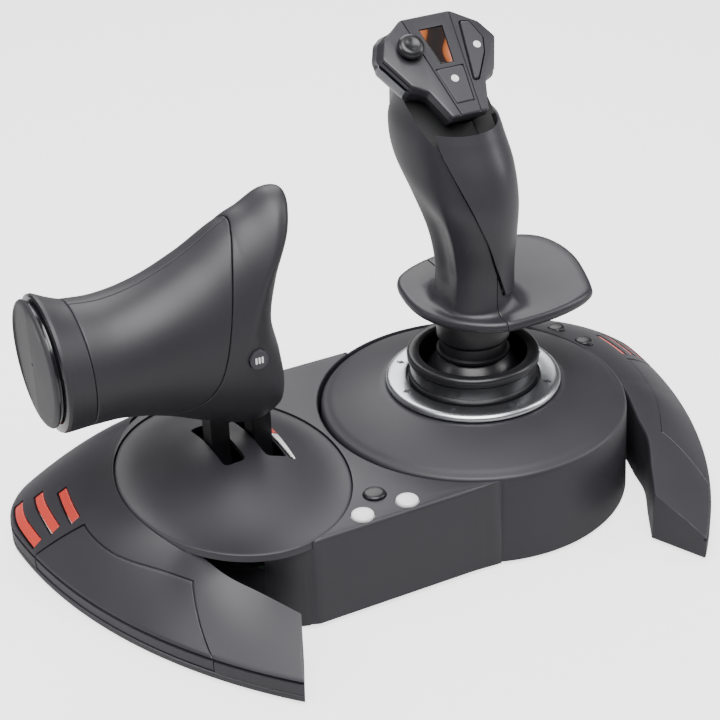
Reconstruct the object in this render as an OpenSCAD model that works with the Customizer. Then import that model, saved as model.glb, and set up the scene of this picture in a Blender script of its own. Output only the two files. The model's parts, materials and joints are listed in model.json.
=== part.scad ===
// Flight joystick: a twist stick and a throttle lever on two joined desk modules.
// Millimetres. X to the user's right, Y away from the user, Z up.
// Origin: on the desk, on the mirror plane of the two side wings, level with the stick's axis.

/* [Base] */
// Distance of the stick's axis from the wings' mirror plane
stick_x = 44.5; // [43:0.5:46]
// Radius of the stick module's round top at its rim
disc_r = 72; // [71.5:0.25:72.5]
// Height of the deck and of the disc's rim above the desk
deck_h = 46; // [45.5:0.25:46.5]
// Height of the wings' outer rim above the desk
rim_h = 12.5; // [11:0.5:14]
// Radius of the wings' outer edge in plan
wing_r = 250; // [249:0.5:251]
// Wall thickness of the covers
wall = 2.4; // [2:0.1:2.6]
// Height of the covers' lower edge above the desk
base_z = 1.5; // [1.2:0.1:1.8]

/* [Stick] */
// Height of the gimbal's centre above the desk
pivot_z = 52; // [51.5:0.25:52.5]
// Radius of the gimbal's pins
pin_r = 2; // [1.8:0.1:2]
// Slope of the head's button face from level
head_tilt = 38; // [36:1:40]
// Height of the lowest point of the head's button face
head_z = 196; // [195.5:0.5:197]

/* [Throttle] */
// X of the throttle lever's middle plane
lever_x = -74.5; // [-75:0.25:-74]
// Y of the throttle axle
axle_y = 4; // [3.5:0.25:4.5]
// Height of the throttle axle above the desk
axle_z = 22; // [21.5:0.25:22.5]
// Radius of the throttle axle
axle_r = 3; // [2.6:0.1:3]

/* [Fits] */
// Radial running clearance of a turning pin in its bore
run = 0.05; // [0.03:0.01:0.08]
// Gap between two covers at a seam
seam = 0.3; // [0.2:0.05:0.4]

/* [Hidden] */
$fn = 48;
plastic = [0.19, 0.185, 0.2];
black = [0.06, 0.06, 0.07];
floor_h = 2.5;
floor_top = base_z + floor_h;

// ---------- curves and lofts ----------

// Row of a key table at u, smoothed through the rows; each row starts with its own u.
function key_index(keys, u, i = 0) =
    (i >= len(keys) - 2 || u < keys[i + 1][0]) ? i : key_index(keys, u, i + 1);
function cubic(a, b, c, d, t) =
    b + 0.5 * t * (c - a + t * (2 * a - 5 * b + 4 * c - d + t * (3 * (b - c) + d - a)));
function at(keys, u) =
    let (
        i = key_index(keys, u),
        b = keys[i],
        c = keys[i + 1],
        a = i > 0 ? keys[i - 1] : 2 * b - c,
        d = i < len(keys) - 2 ? keys[i + 2] : 2 * c - b
    )
    cubic(a, b, c, d, (u - b[0]) / (c[0] - b[0]));
function mix(a, b, t) = a + (b - a) * t;
function steps(a, b, n) = [for (i = [0:n]) mix(a, b, i / n)];

// Closed solid through rings of equally many points, with flat ends. Rings run clockwise
// about the direction they advance in.
module loft(rings) {
    n = len(rings[0]);
    m = len(rings);
    sides = [
        for (i = [0:m - 2], j = [0:n - 1], half = [0, 1])
            let (a = i * n + j, b = i * n + (j + 1) % n)
                half == 0 ? [a, b, a + n] : [b, b + n, a + n]
    ];
    polyhedron(
        points = [for (r = rings) each r],
        faces = concat([[for (j = [n - 1:-1:0]) j]], [[for (j = [0:n - 1]) (m - 1) * n + j]], sides),
        convexity = 6
    );
}

// Closed sheet between two grids of points of the same size. Row direction crossed with
// column direction points from the first grid to the second.
module sheet(top, under) {
    m = len(top);
    n = len(top[0]);
    k = m * n;
    skin = [
        for (i = [0:m - 2], j = [0:n - 2], half = [0, 1])
            let (a = i * n + j)
                half == 0 ? [a, a + n, a + 1] : [a + 1, a + n, a + n + 1]
    ];
    edge = concat(
        [for (i = [0:m - 2]) [i * n, (i + 1) * n]],
        [for (j = [0:n - 2]) [(m - 1) * n + j, (m - 1) * n + j + 1]],
        [for (i = [m - 1:-1:1]) [i * n + n - 1, (i - 1) * n + n - 1]],
        [for (j = [n - 1:-1:1]) [j, j - 1]]
    );
    polyhedron(
        points = concat([for (r = top) each r], [for (r = under) each r]),
        faces = concat(
            skin,
            [for (f = skin) [f[0] + k, f[2] + k, f[1] + k]],
            [for (e = edge) [e[1], e[0], e[0] + k]],
            [for (e = edge) [e[1], e[0] + k, e[1] + k]]
        ),
        convexity = 6
    );
}

// Hands its children over as one meshed skin.
module skin() {
    resize([0, 0, 0]) union() children();
}

module at_stick() {
    translate([stick_x, 0, 0]) children();
}

// Cylinder along X or Y, centred on its own length.
module rod_x(r, l) {
    rotate([0, 90, 0]) cylinder(r = r, h = l, center = true);
}
module rod_y(r, l) {
    rotate([90, 0, 0]) cylinder(r = r, h = l, center = true);
}
module tube(r, bore, h) {
    difference() {
        cylinder(r = r, h = h);
        translate([0, 0, -1]) cylinder(r = bore, h = h + 2);
    }
}

// ---------- wings ----------
// A wing is swept along q: 0 at the prong's tip, 6 where the side meets the rear corner,
// 8 after the corner and 10 where the two modules meet behind. All for the right wing;
// the left one is mirrored.

wing_c = [-80, 62];
tip_angle = -44;
side_angle = -3.4;
rear_y = 93;
split_x = 12;
corner_r = (rear_y - wing_c[1] - wing_r * sin(side_angle)) / (1 - sin(side_angle));
corner_c = wing_c + (wing_r - corner_r) * [cos(side_angle), sin(side_angle)];
// q, inner edge x and y on the side away from the disc, crest height, bulge
crest_keys = [
    [0, 88.3, -86.5, 25.7, 0.1],
    [1, 98, -69.5, 28.7, 0.25],
    [2, 107.5, -53, 31.5, 0.4],
    [3, 113, -35, 34.5, 0.5],
    [4, 124, -12, 39.5, 0.55],
    [5, 128.5, 12, 43, 0.55],
    [6, 121, 36, 44.8, 0.5],
    [7, 109, 54, 45.8, 0.45],
    [8, 95, 66, 46, 0.4],
    [9, 40, 66, 46, 0.4],
    [10, -11.85, 66, 46, 0.4]
];
// q and the angle about the stick's axis at which the right wing meets the disc
disc_keys = [[3, -26], [4, -9.5], [5, 6.5], [6, 23], [7, 42], [8, 61], [9, 86], [10, 116.1]];

function outer_edge(q, side) =
    let (a = mix(tip_angle, side_angle, q / 6), b = mix(side_angle, 90, (q - 6) / 2))
        q <= 6 ? wing_c + wing_r * [cos(a), sin(a)]
        : q <= 8 ? corner_c + corner_r * [cos(b), sin(b)]
        : [mix(corner_c[0], side * split_x + seam / 2, (q - 8) / 2), rear_y];
function disc_edge(q) =
    let (a = at(disc_keys, q)[1])
        [stick_x, 0] + (disc_r + 1.6) * [cos(a), sin(a)];
// side is 1 for the wing that wraps the disc and -1 for the throttle's own wing
function inner_edge(q, side) =
    let (k = at(crest_keys, q))
        side < 0 ? [k[1], k[2]] : q < 3 ? [k[1], k[2]]
            : mix([k[1], k[2]], disc_edge(q), min(1, q - 3));
// Point of the wing's upper face: t runs from the rim to the crest, d is the depth below it.
function wing_point(q, t, d, side) =
    let (
        o = outer_edge(q, side),
        i = inner_edge(q, side),
        k = at(crest_keys, q),
        w = norm(i - o),
        rise = k[3] - rim_h,
        z = rim_h + rise * (t + k[4] * t * (1 - t)),
        slope = rise * (1 + k[4] * (1 - 2 * t)) / w,
        g = sqrt(1 + slope * slope),
        l = t * w + d * slope / g,
        p = o + (i - o) * l / w
    )
    [p[0], p[1], z - d / g];
function wing_ring(q, d, side, n, low) =
    let (
        o = outer_edge(q, side),
        i = inner_edge(q, side),
        u = (i - o) / norm(i - o),
        a = o + u * d,
        b = i - u * d
    )
    concat(
        [[a[0], a[1], low]],
        [for (t = steps(d == 0 ? 0 : 0.06, d == 0 ? 1 : 0.92, n)) wing_point(q, t, d, side)],
        [[b[0], b[1], low]]
    );
module wing_solid(side, qs, d = 0, n = 9, low = base_z) {
    loft([for (q = qs) wing_ring(q, d, side, n, low)]);
}
module wing_shell(side) {
    difference() {
        wing_solid(side, steps(0, 10, 40));
        wing_solid(side, steps(0.14, 9.93, 22), d = wall, n = 5, low = base_z - 1);
    }
}
// Part of the wing's upper wall between two depths, bounded by slanted ends.
module wing_patch(side, q0, q1, t1, d0, d1, grow, n = 14) {
    // the band below the rim is part of the patch: t below 0 runs down the rim
    ts = concat([-1], steps(0, 1, 5));
    pts = function (d) [
        for (v = steps(0, 1, n)) [
            for (t = ts)
                let (
                    s = max(t, 0),
                    te = s * (mix(t1[0], t1[1], v) + grow / 30),
                    qa = mix(q0[0], q0[1], s) - grow / 28,
                    qb = mix(q1[0], q1[1], s) + grow / 28,
                    q = mix(qa, qb, v),
                    p = wing_point(q, te, d, side),
                    o = outer_edge(q, side),
                    u = (inner_edge(q, side) - o) / norm(inner_edge(q, side) - o)
                )
                t < 0 ? [o[0] + u[0] * d, o[1] + u[1] * d, plate_low - grow] : p
        ]
    ];
    sheet(pts(d1), pts(d0));
}
plate_low = 5;
plate_front = [1.37, 2.2];
plate_rear = [5.2, 4.5];
plate_reach = [0.68, 0.5];
plate_t = 1.2;
module wing_plate(side) {
    wing_patch(side, plate_front, plate_rear, plate_reach, 0, plate_t, 0);
}
module plate_recess(side) {
    wing_patch(side, plate_front, plate_rear, plate_reach, -1, plate_t + 0.1, seam);
}

// Vent slots: q range and t of each, cut through the wing behind its plate
vents = [[5.42, 6.62, 0.14], [5.12, 6.12, 0.36], [4.82, 5.62, 0.57]];
vent_w = 4;
module vent_patch(side, v, d0, d1, grow) {
    half = function (q) (vent_w / 2 + grow) / norm(inner_edge(q, side) - outer_edge(q, side));
    pts = function (d) [
        for (q = steps(v[0] - grow / 28, v[1] + grow / 28, 6)) [
            wing_point(q, v[2] - half(q), d, side),
            wing_point(q, v[2] + half(q), d, side)
        ]
    ];
    sheet(pts(d1), pts(d0));
}
module vent_inserts(side) {
    for (v = vents) vent_patch(side, v, 0.4, wall - 0.2, -seam / 2);
}
module vent_cuts(side) {
    for (v = vents) vent_patch(side, v, -1, wall + 1.2, 0);
}
wing_buttons = [[117.3, 40.8], [121.8, 22.5]];
wing_button_z = 43;
wing_button_r = 4.25;

// ---------- base ----------

dome_top = 56;
ring_r = 41;
collar_r = 31;
collar_bore = 28;
post_r = 3.4;
stick_posts = [[30, 45], [-30, 45], [-30, -45], [30, -45]];

module disc_profile(inset, low) {
    polygon(concat(
        [[0, low], [disc_r + 1.4 - inset, low], [disc_r - inset, deck_h - inset - 0.6]],
        [for (t = steps(0, 1, 5)) [
            mix(disc_r - 0.6 - inset, ring_r, t),
            deck_h - inset + (dome_top - deck_h) * (t + 0.25 * t * (1 - t))
        ]],
        [[0, dome_top - inset]]
    ));
}
module stick_base_cover() {
    color(plastic) at_stick() {
        difference() {
            rotate_extrude($fn = 96) disc_profile(0, base_z);
            rotate_extrude($fn = 96) disc_profile(wall, base_z - 1);
            translate([0, 0, deck_h - 2]) cylinder(r = collar_bore, h = 20);
            for (a = [30:60:330]) rotate(a) translate([35, 0, deck_h]) cylinder(r = 1.3, h = 20);
            translate([-stick_x, 0, 0]) link_notches();
        }
        for (p = stick_posts) translate([p[0], p[1], floor_top]) difference() {
            cylinder(r = post_r, h = deck_h - floor_top + 5.5);
            translate([0, 0, -1]) cylinder(r = 1.2, h = 16);
        }
    }
}

module right_wing_cover() {
    color(plastic) {
        difference() {
            skin() difference() {
                wing_shell(1);
                plate_recess(1);
                vent_cuts(1);
            }
            for (p = wing_buttons) translate([p[0], p[1], wing_button_z - 10.4]) {
                cylinder(r = wing_button_r + 0.25, h = 30);
                cylinder(r = wing_button_r + 1.2, h = 2.9);
            }
        }
    }
}
module left_wing_plate() {
    color(plastic) mirror([1, 0, 0]) wing_plate(-1);
}
module right_wing_plate() {
    color(plastic) wing_plate(1);
}
module left_vent_inserts() {
    color([0.8, 0.16, 0.13]) mirror([1, 0, 0]) vent_inserts(-1);
}
module right_vent_inserts() {
    color([0.8, 0.16, 0.13]) vent_inserts(1);
}

// Outline of the throttle module's deck, anticlockwise from its front right corner.
front_y = -69;
deck_side = [
    [0, -72, -69], [1, -88, -62], [2, -100, -48], [3, -112, -37], [4, -125.5, -12],
    [5, -130.5, 12], [6, -123, 36], [7, -110.5, 55], [8, -94.5, 67.6]
];
back_y = 67.6;
module deck_outline(inset = 0) {
    gap_r = disc_r + 1.6 + inset;
    polygon(concat(
        [for (u = steps(0, 8, 16)) let (p = at(deck_side, u)) [
            p[1] + inset * (u < 7.5 ? 1 : 0.7),
            max(min(p[2], back_y - inset), front_y + inset)
        ]],
        inset == 0 ? [[split_x - seam, back_y]] : [],
        [for (a = steps(
            max(acos((split_x - seam - stick_x) / gap_r), 180 - asin((back_y - inset) / gap_r)),
            180 + asin((-front_y - inset) / gap_r), 20
        )) [stick_x, 0] + gap_r * [cos(a), sin(a)]]
    ));
}
hump_c = [-81.5, -3];
hump_rx = 50;
hump_ry = 66;
lid_low = 42;
button_r = 5;
deck_buttons = [[-46.5, -62.3], [-34.7, -50.7], [-24.7, -62]];
throttle_posts = [[-20, 48], [-20, -48]];
lid_posts = [[-112, 4], [-50, -12], [-50, 20]];

module ellipse_solid(rx, ry, z0, h) {
    translate([hump_c[0], hump_c[1], z0])
        linear_extrude(h) polygon([for (a = [0:7.5:352.5]) [rx * cos(a), ry * sin(a)]]);
}
module throttle_base_cover() {
    color(plastic) skin() difference() {
        union() {
            difference() {
                union() {
                    translate([0, 0, base_z]) linear_extrude(deck_h - base_z) deck_outline();
                    mirror([1, 0, 0]) wing_solid(-1, steps(0, 10, 40));
                }
                difference() {
                    translate([0, 0, base_z - 1]) linear_extrude(deck_h - wall - base_z + 1)
                        deck_outline(wall);
                    ellipse_solid(hump_rx + wall, hump_ry + wall, lid_low - wall, 10);
                }
                mirror([1, 0, 0])
                    wing_solid(-1, steps(0.14, 9.93, 22), d = wall, n = 5, low = base_z - 1);
                // ledge that the quadrant's lid drops into
                ellipse_solid(hump_rx + seam, hump_ry + seam, lid_low, 20);
                ellipse_solid(hump_rx - 7, hump_ry - 9, 30, 30);
                mirror([1, 0, 0]) plate_recess(-1);
                mirror([1, 0, 0]) vent_cuts(-1);
            }
            for (p = throttle_posts) translate([p[0], p[1], floor_top])
                cylinder(r = post_r, h = deck_h - floor_top - 1);
        }
        for (p = deck_buttons) translate([p[0], p[1], 0]) {
            translate([0, 0, 30]) cylinder(r = button_r + 0.25, h = 30);
            translate([0, 0, deck_h - wall - 2.8]) cylinder(r = button_r + 1.1, h = 2.8);
        }
        for (p = throttle_posts) translate([p[0], p[1], floor_top - 1]) cylinder(r = 1.2, h = 16);
        link_notches();
    }
}

hump_h = 15;
slot_len = 41;
leg_x = 10;
leg_w = 9;
// The lid's height above its rim: s is 0 at the middle and 1 at the rim.
function hump_rise(s) = hump_h * (0.5 + 0.5 * cos(180 * pow(s, 1.15)));
function lid_s(p) = norm([(p[0] - hump_c[0]) / hump_rx, (p[1] - hump_c[1]) / hump_ry]);
module hump_solid(drop, rx, ry, low) {
    rings = concat(
        [for (k = [0, 1]) [for (a = [360:-10:10]) [
            hump_c[0] + rx * cos(a), hump_c[1] + ry * sin(a), k == 0 ? low : deck_h - 0.5 - drop
        ]]],
        [for (s = [0.93, 0.85, 0.75, 0.65, 0.54, 0.42, 0.28, 0.14, 0.03]) [for (a = [360:-10:10]) [
            hump_c[0] + s * rx * cos(a), hump_c[1] + s * ry * sin(a),
            deck_h - 0.5 - drop + hump_rise(s)
        ]]]
    );
    loft(rings);
}
module quadrant_cover() {
    color(plastic) {
        skin() difference() {
            hump_solid(0, hump_rx, hump_ry, lid_low + 0.05);
            hump_solid(wall, hump_rx - wall, hump_ry - wall, lid_low - 1);
            for (x = [-leg_x, leg_x]) translate([lever_x + x, axle_y, 50])
                cube([leg_w + 1.4, slot_len, 60], center = true);
            // bed of the scale mark
            scale_solid(0.25, -0.8, 4);
        }
        for (p = lid_posts) translate([p[0], p[1], floor_top + 0.05]) difference() {
            cylinder(r = post_r, h = deck_h - 0.5 + hump_rise(lid_s(p)) - wall / 2 - floor_top);
            translate([0, 0, -1]) cylinder(r = 1.2, h = 16);
        }
    }
}
// Wedge-shaped scale beside the lever, set into the lid
scale_keys = [[0, -57, -18, 0.5], [1, -56, 14, 2.2]];
module scale_solid(grow, d0, d1) {
    pts = function (d) [
        for (v = steps(0, 1, 10)) let (k = at(scale_keys, v)) [
            for (e = [-1, 1])
                let (
                    x = k[1] + e * (k[3] + grow),
                    y = k[2] + grow * (2 * v - 1),
                    z = deck_h - 0.5 + hump_rise(lid_s([x, y]))
                )
                [x, y, z - d]
        ]
    ];
    sheet(pts(-d1), pts(-d0));
}
module throttle_scale() {
    color("white") scale_solid(0, -0.7, 0.05);
}

module trim_ring() {
    color([0.78, 0.79, 0.82]) at_stick() translate([0, 0, dome_top]) difference() {
        rotate_extrude($fn = 96) polygon([
            [collar_r + 0.1, 0], [ring_r, 0], [ring_r, 2], [ring_r - 0.8, 3], [collar_r + 0.1, 3]
        ]);
        for (a = [30:60:330]) rotate(a) translate([35, 0, -1]) cylinder(r = 1.3, h = 2);
    }
}
module stick_collar() {
    color(black) at_stick() rotate_extrude($fn = 96) polygon([
        [collar_bore, dome_top], [collar_r, dome_top], [collar_r, 69], [30.3, 71], [28.6, 72],
        [26.2, 71.8], [25, 70.6], [25, 69.4], [27, 68], [collar_bore, 66]
    ]);
}

// ---------- floors, feet, weights, electronics ----------

screw_r = 1.1;
foot_r = 7;
foot_spots = [[0, 0], [98, 18], [62, -52], [62, 52], [-55, -54], [-50, 50], [-112, 22]];
module floor_holes(spots) {
    for (p = spots) translate([p[0], p[1], base_z - 1]) {
        cylinder(r = screw_r + 0.3, h = floor_h + 2);
        cylinder(r = 3.1, h = 2.4);
    }
    for (p = foot_spots) translate([p[0], p[1], base_z - 1]) cylinder(r = foot_r + 0.1, h = 2);
}
stick_screw_spots = [for (p = stick_posts) [p[0] + stick_x, p[1]]];
module stick_base_floor() {
    color(black) difference() {
        translate([stick_x, 0, base_z]) cylinder(r = disc_r - wall + 0.8, h = floor_h - 0.05);
        floor_holes(stick_screw_spots);
        for (e = [-1, 1]) translate([link_x + link_hole, e * link_y, base_z - 1])
            cylinder(r = screw_r, h = 8);
    }
}
module throttle_base_floor() {
    color(black) difference() {
        translate([0, 0, base_z]) linear_extrude(floor_h - 0.05) deck_outline(wall + 0.15);
        floor_holes(concat(throttle_posts, lid_posts));
        for (e = [-1, 1]) translate([link_x - link_hole, e * link_y, base_z - 1])
            cylinder(r = screw_r, h = 8);
    }
}
module rubber_feet() {
    color([0.1, 0.1, 0.1]) for (p = foot_spots) translate([p[0], p[1], 0]) rotate_extrude()
        polygon([[0, 0], [foot_r - 0.8, 0], [foot_r, 0.8], [foot_r, base_z + 0.95], [0, base_z + 0.95]]);
}
module base_screw() {
    cylinder(r = 2.8, h = 1.2);
    translate([0, 0, 1]) cylinder(r = screw_r, h = 11);
}
module base_screws() {
    color([0.5, 0.5, 0.52]) for (p = concat(stick_screw_spots, throttle_posts, lid_posts))
        translate([p[0], p[1], base_z + 0.1]) difference() {
            base_screw();
            translate([-0.4, -1.8, -1]) cube([0.8, 3.6, 1.7]);
            translate([-1.8, -0.4, -1]) cube([3.6, 0.8, 1.7]);
        }
}
// Steel plates that keep the light plastic base from lifting when the stick is pushed
module ballast_weights() {
    color([0.45, 0.46, 0.48]) translate([0, 0, floor_top]) {
        translate([stick_x, 0, 0]) difference() {
            cylinder(r = 52, h = 5);
            translate([0, 0, -1]) cylinder(r = 40, h = 7);
            for (p = stick_posts) translate([p[0], p[1], -1]) cylinder(r = post_r + 0.4, h = 7);
            translate([-60, -60, -1]) cube([36, 120, 7]);
        }
        for (y = [39, -57]) translate([-62, y, 0]) cube([34, 18, 6]);
    }
}
link_x = -24;
link_y = 32;
link_hole = 16;
link_size = [40, 10, 1.6];
// Flat bars that hold the two modules side by side
module module_link() {
    color([0.45, 0.46, 0.48]) for (e = [-1, 1]) translate([link_x, e * link_y, floor_top]) difference() {
        translate([-link_size[0] / 2, -link_size[1] / 2, 0.05]) cube(link_size);
        for (x = [-link_hole, link_hole]) translate([x, 0, -1]) cylinder(r = 1.5, h = 4);
    }
}
// Notches in both modules' walls for the bars
module link_notches() {
    for (e = [-1, 1])
        translate([link_x - link_size[0] / 2 - 1, e * link_y - link_size[1] / 2 - seam, base_z - 1])
            cube([link_size[0] + 2, link_size[1] + 2 * seam, floor_top + link_size[2] - base_z + 1.4]);
}
main_board_at = [-96, -44];
module main_board() {
    color([0.05, 0.3, 0.16]) translate([main_board_at[0], main_board_at[1], floor_top + 3]) {
        cube([32, 18, 1.6]);
        translate([4, 5, 1.6]) cube([9, 9, 1.4]);
        translate([18, 5, 1.6]) cube([10, 8, 4]);
        for (p = [[2, 2], [30, 2], [2, 16], [30, 16]]) translate([p[0], p[1], -2.95])
            cylinder(r = 1.5, h = 3);
    }
}
board_z = 37;
module button_board() {
    color([0.05, 0.3, 0.16]) {
        translate([-54, -66, board_z]) difference() {
            cube([36, 21, 1.6]);
            translate([34, 18, -1]) cylinder(r = post_r + 0.6, h = 4);
        }
        for (p = deck_buttons) translate([p[0] - 3, p[1] - 3, board_z + 1.6]) cube([6, 6, 2]);
    }
}
// A push button: cap with a low crown, a flange that stays under its hole, and a stem
module push_button(r, top, under, stem) {
    rotate_extrude() polygon([
        [0, stem], [1.5, stem], [1.5, under - 1.6], [r + 0.8, under - 1.6], [r + 0.8, under - 0.3],
        [r, under - 0.3], [r, top - 0.8], [r - 0.9, top - 0.15], [r * 0.45, top + 0.05], [0, top + 0.1]
    ]);
}
module deck_button(i) {
    translate([deck_buttons[i][0], deck_buttons[i][1], 0])
        push_button(button_r, deck_h + 1.6, deck_h - wall, board_z + 4.5);
}
module select_button() {
    color("white") deck_button(0);
}
module mode_button() {
    color(black) deck_button(1);
}
module start_button() {
    color("white") deck_button(2);
}
module wing_button(i) {
    translate([wing_buttons[i][0], wing_buttons[i][1], 0])
        push_button(wing_button_r, wing_button_z + 1, wing_button_z - 7.6, wing_button_z - 14);
}
module wing_button_front() {
    color(black) wing_button(1);
}
module wing_button_rear() {
    color(black) wing_button(0);
}

// ---------- gimbal and stick shaft ----------

frame_z = 38;
arm_x = 16.5;
arm_t = 4;
ring_in = 11;
ring_out = 15;
shaft_r = 6;
module gimbal_frame() {
    color([0.3, 0.3, 0.32]) at_stick() {
        translate([0, 0, frame_z]) tube(36, 16.5, 3);
        for (a = [45:90:315]) rotate(a) translate([31, 0, floor_top + 0.05])
            cylinder(r = 4, h = frame_z - floor_top + 1);
        for (e = [-1, 1]) translate([e * (arm_x + arm_t / 2), 0, 0]) difference() {
            union() {
                translate([-arm_t / 2, -4, frame_z + 1]) cube([arm_t, 8, pivot_z - frame_z - 1]);
                translate([0, 0, pivot_z]) rod_x(4, arm_t);
            }
            translate([0, 0, pivot_z]) rod_x(pin_r + run, arm_t + 2);
        }
    }
}
module pitch_ring() {
    color([0.85, 0.85, 0.83]) translate([stick_x, 0, pivot_z]) {
        difference() {
            translate([0, 0, -4]) tube(ring_out, ring_in, 8);
            rod_y(pin_r + run, 60);
        }
        for (e = [-1, 1]) translate([e * (ring_out + 2.4), 0, 0]) rod_x(pin_r, 6.4);
    }
}
shaft_top = 150;
spring_r = 8;
wire_r = 0.9;
spring_low = 18;
spring_high = 33;
module stick_shaft() {
    color([0.7, 0.71, 0.73]) translate([stick_x, 0, 0]) {
        translate([0, 0, pivot_z]) {
            translate([0, 0, -5]) cylinder(r = 7, h = 10);
            rod_y(pin_r, 2 * ring_out - 1);
        }
        difference() {
            translate([0, 0, pivot_z + 4]) cylinder(r = shaft_r, h = shaft_top - pivot_z - 4);
            translate([0, 0, pivot_z + 8]) cylinder(r = 3.6, h = shaft_top);
        }
        translate([0, 0, spring_low - 5]) cylinder(r = 4, h = pivot_z - spring_low + 2);
        translate([0, 0, spring_high + 0.95]) cylinder(r = 9, h = 1.5);
    }
}
module centring_spring() {
    turns = 5;
    rings = [
        for (u = steps(0, turns, turns * 12))
            let (a = 360 * u, z = mix(spring_low + wire_r + 0.1, spring_high - wire_r + 0.8, u / turns))
                [for (b = [0:60:300]) [
                    (spring_r + wire_r * cos(b)) * cos(a),
                    (spring_r + wire_r * cos(b)) * sin(a),
                    z + wire_r * sin(b)
                ]]
    ];
    color([0.75, 0.76, 0.78]) at_stick() loft(rings);
}
module spring_retainer() {
    color(black) translate([stick_x, 0, spring_low - 3]) difference() {
        cylinder(r = 10, h = 2.9);
        translate([0, 0, -1]) cylinder(r = 4.05, h = 5);
    }
}
boot_r = 24;
neck_in = 15.5;
neck_r = 17;
neck_step = 80;
neck_top = 92.5;
boot_top = pivot_z + sqrt(boot_r * boot_r - neck_in * neck_in);
module gimbal_boot() {
    color(black) translate([stick_x, 0, pivot_z]) rotate_extrude($fn = 96) difference() {
        intersection() {
            difference() {
                circle(r = boot_r);
                circle(r = boot_r - 2);
            }
            translate([neck_in + 0.05, 4]) square([boot_r, boot_r]);
        }
    }
}
module neck_sleeve() {
    color(black) at_stick() difference() {
        rotate_extrude() polygon([
            [shaft_r + 0.02, neck_top - 3], [13.5, neck_top - 3], [13.5, boot_top - 3],
            [neck_in, boot_top - 3], [neck_in, neck_step - 1.5], [neck_r, neck_step],
            [neck_r, neck_top], [shaft_r + 0.02, neck_top]
        ]);
        translate([0, 0, neck_top - 2]) rotate([0, 90, 0]) cylinder(r = 0.8, h = 8);
    }
}
bush_low = 104;
bush_high = 146;
module twist_bush() {
    color([0.85, 0.85, 0.83]) translate([stick_x, 0, 0]) difference() {
        union() {
            translate([0, 0, bush_low]) cylinder(r = 9, h = bush_high - bush_low);
            for (z = [bush_low, bush_high - 3]) translate([0, 0, z]) cylinder(r = 13, h = 3);
        }
        translate([0, 0, bush_low - 1]) cylinder(r = shaft_r + run, h = bush_high);
    }
}
module twist_sensor() {
    color([0.2, 0.3, 0.6]) translate([stick_x, 0, shaft_top]) {
        cylinder(r = 8, h = 6);
        cylinder(r = 3, h = 12);
        translate([0, 0, -6]) cylinder(r = 3.55, h = 7);
    }
}

// ---------- stick grip ----------

rest_low = 93;
rest_t = 5;
half_gap = 0.05;
grip_split = 46;
grip_keys = [
    [97, 45, 0, 19, 22],
    [100, 44.7, 0, 17.4, 20.4],
    [108, 44.5, 0, 16.5, 19.5],
    [120, 44.2, 0, 16.6, 20],
    [135, 43, 0, 18.5, 22.5],
    [150, 41.7, 3.5, 21.5, 27],
    [165, 41.5, 14, 23.2, 34],
    [180, 39.8, 18, 22.2, 31.5],
    [192, 39, 17.5, 19.8, 26.5],
    [205, 39, 17, 20, 23.5],
    [222, 39, 17, 20, 23]
];
// Plan of the hand rest, anticlockwise; round at the left and a squared blade to the right
rest_outline = [
    [26, 38], [19.5, 22], [18.5, 2], [26, -15], [42, -28], [62, -30], [80, -27.5], [94, -22],
    [100, -14], [109, 12], [110, 30], [105, 43], [92, 50], [68, 50], [44, 47]
];
function grip_point(z, a, d = 0) =
    let (k = at(grip_keys, z))
        [k[1] + (k[3] - d) * cos(a), k[2] + (k[4] - d) * sin(a), z];
function loop_at(pts, u) =
    let (n = len(pts), i = floor(u))
        cubic(pts[(i + n - 1) % n], pts[i % n], pts[(i + 1) % n], pts[(i + 2) % n], u - i);
module grip_solid(zs, d = 0, n = 24) {
    loft([for (z = zs) [for (j = [0:n - 1]) grip_point(z, -360 * j / n, d)]]);
}
// Brings the head's own frame to its place: its x is the row's x, y climbs the face, z leaves it.
module at_head() {
    translate([head_x, head_y, head_z]) rotate([head_tilt, 0, 0]) children();
}
head_x = 39;
head_y = -4.6;
head_t = 14;
palm_edges = [[107, -72, -40], [125, -92, -18], [150, -112, 2], [172, -128, 8], [184, -133, 8]];
function palm_grid(d, grow) = [
    for (z = steps(107 - grow, 184 + grow, 9)) let (e = at(palm_edges, min(max(z, 107), 184))) [
        for (a = steps(e[1] - 3 * grow, e[2] + 3 * grow, 7)) grip_point(z, a, d)
    ]
];
module grip_body() {
    skin() difference() {
        union() {
            grip_solid([97, 98.5, 100, 104, 110, 120, 130, 140, 150, 158, 165, 173, 181, 190, 200, 211, 222]);
            translate([0, 0, rest_low]) linear_extrude(rest_t) polygon([
                for (u = steps(0, len(rest_outline) - 0.5, 29)) loop_at(rest_outline, u)
            ]);
        }
        grip_solid([97.5, 110, 125, 140, 150, 165, 180, 200, 223], d = 2.6, n = 16);
        translate([stick_x, 0, rest_low - 1]) cylinder(r = 10, h = 8);
        at_head() translate([-80, -80, -head_t - 0.1]) cube([160, 160, 60]);
        // slot for the trigger
        translate([trigger_x - 9, 36, 169]) cube([18, 40, 60]);
        translate([trigger_x, trigger_y, trigger_z]) rod_x(1.65, 27);
        sheet(palm_grid(-3, 0.3), palm_grid(1.6, 0.3));
        children();
    }
}
module left_grip_shell() {
    color(plastic) grip_body() translate([grip_split - half_gap, -80, 60]) cube([120, 200, 200]);
}
module right_grip_shell() {
    color(plastic) grip_body() translate([grip_split + half_gap - 120, -80, 60]) cube([120, 200, 200]);
}
module palm_panel() {
    color(plastic) skin() sheet(palm_grid(0, 0), palm_grid(1.5, 0));
}

// ---------- stick head ----------

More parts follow.
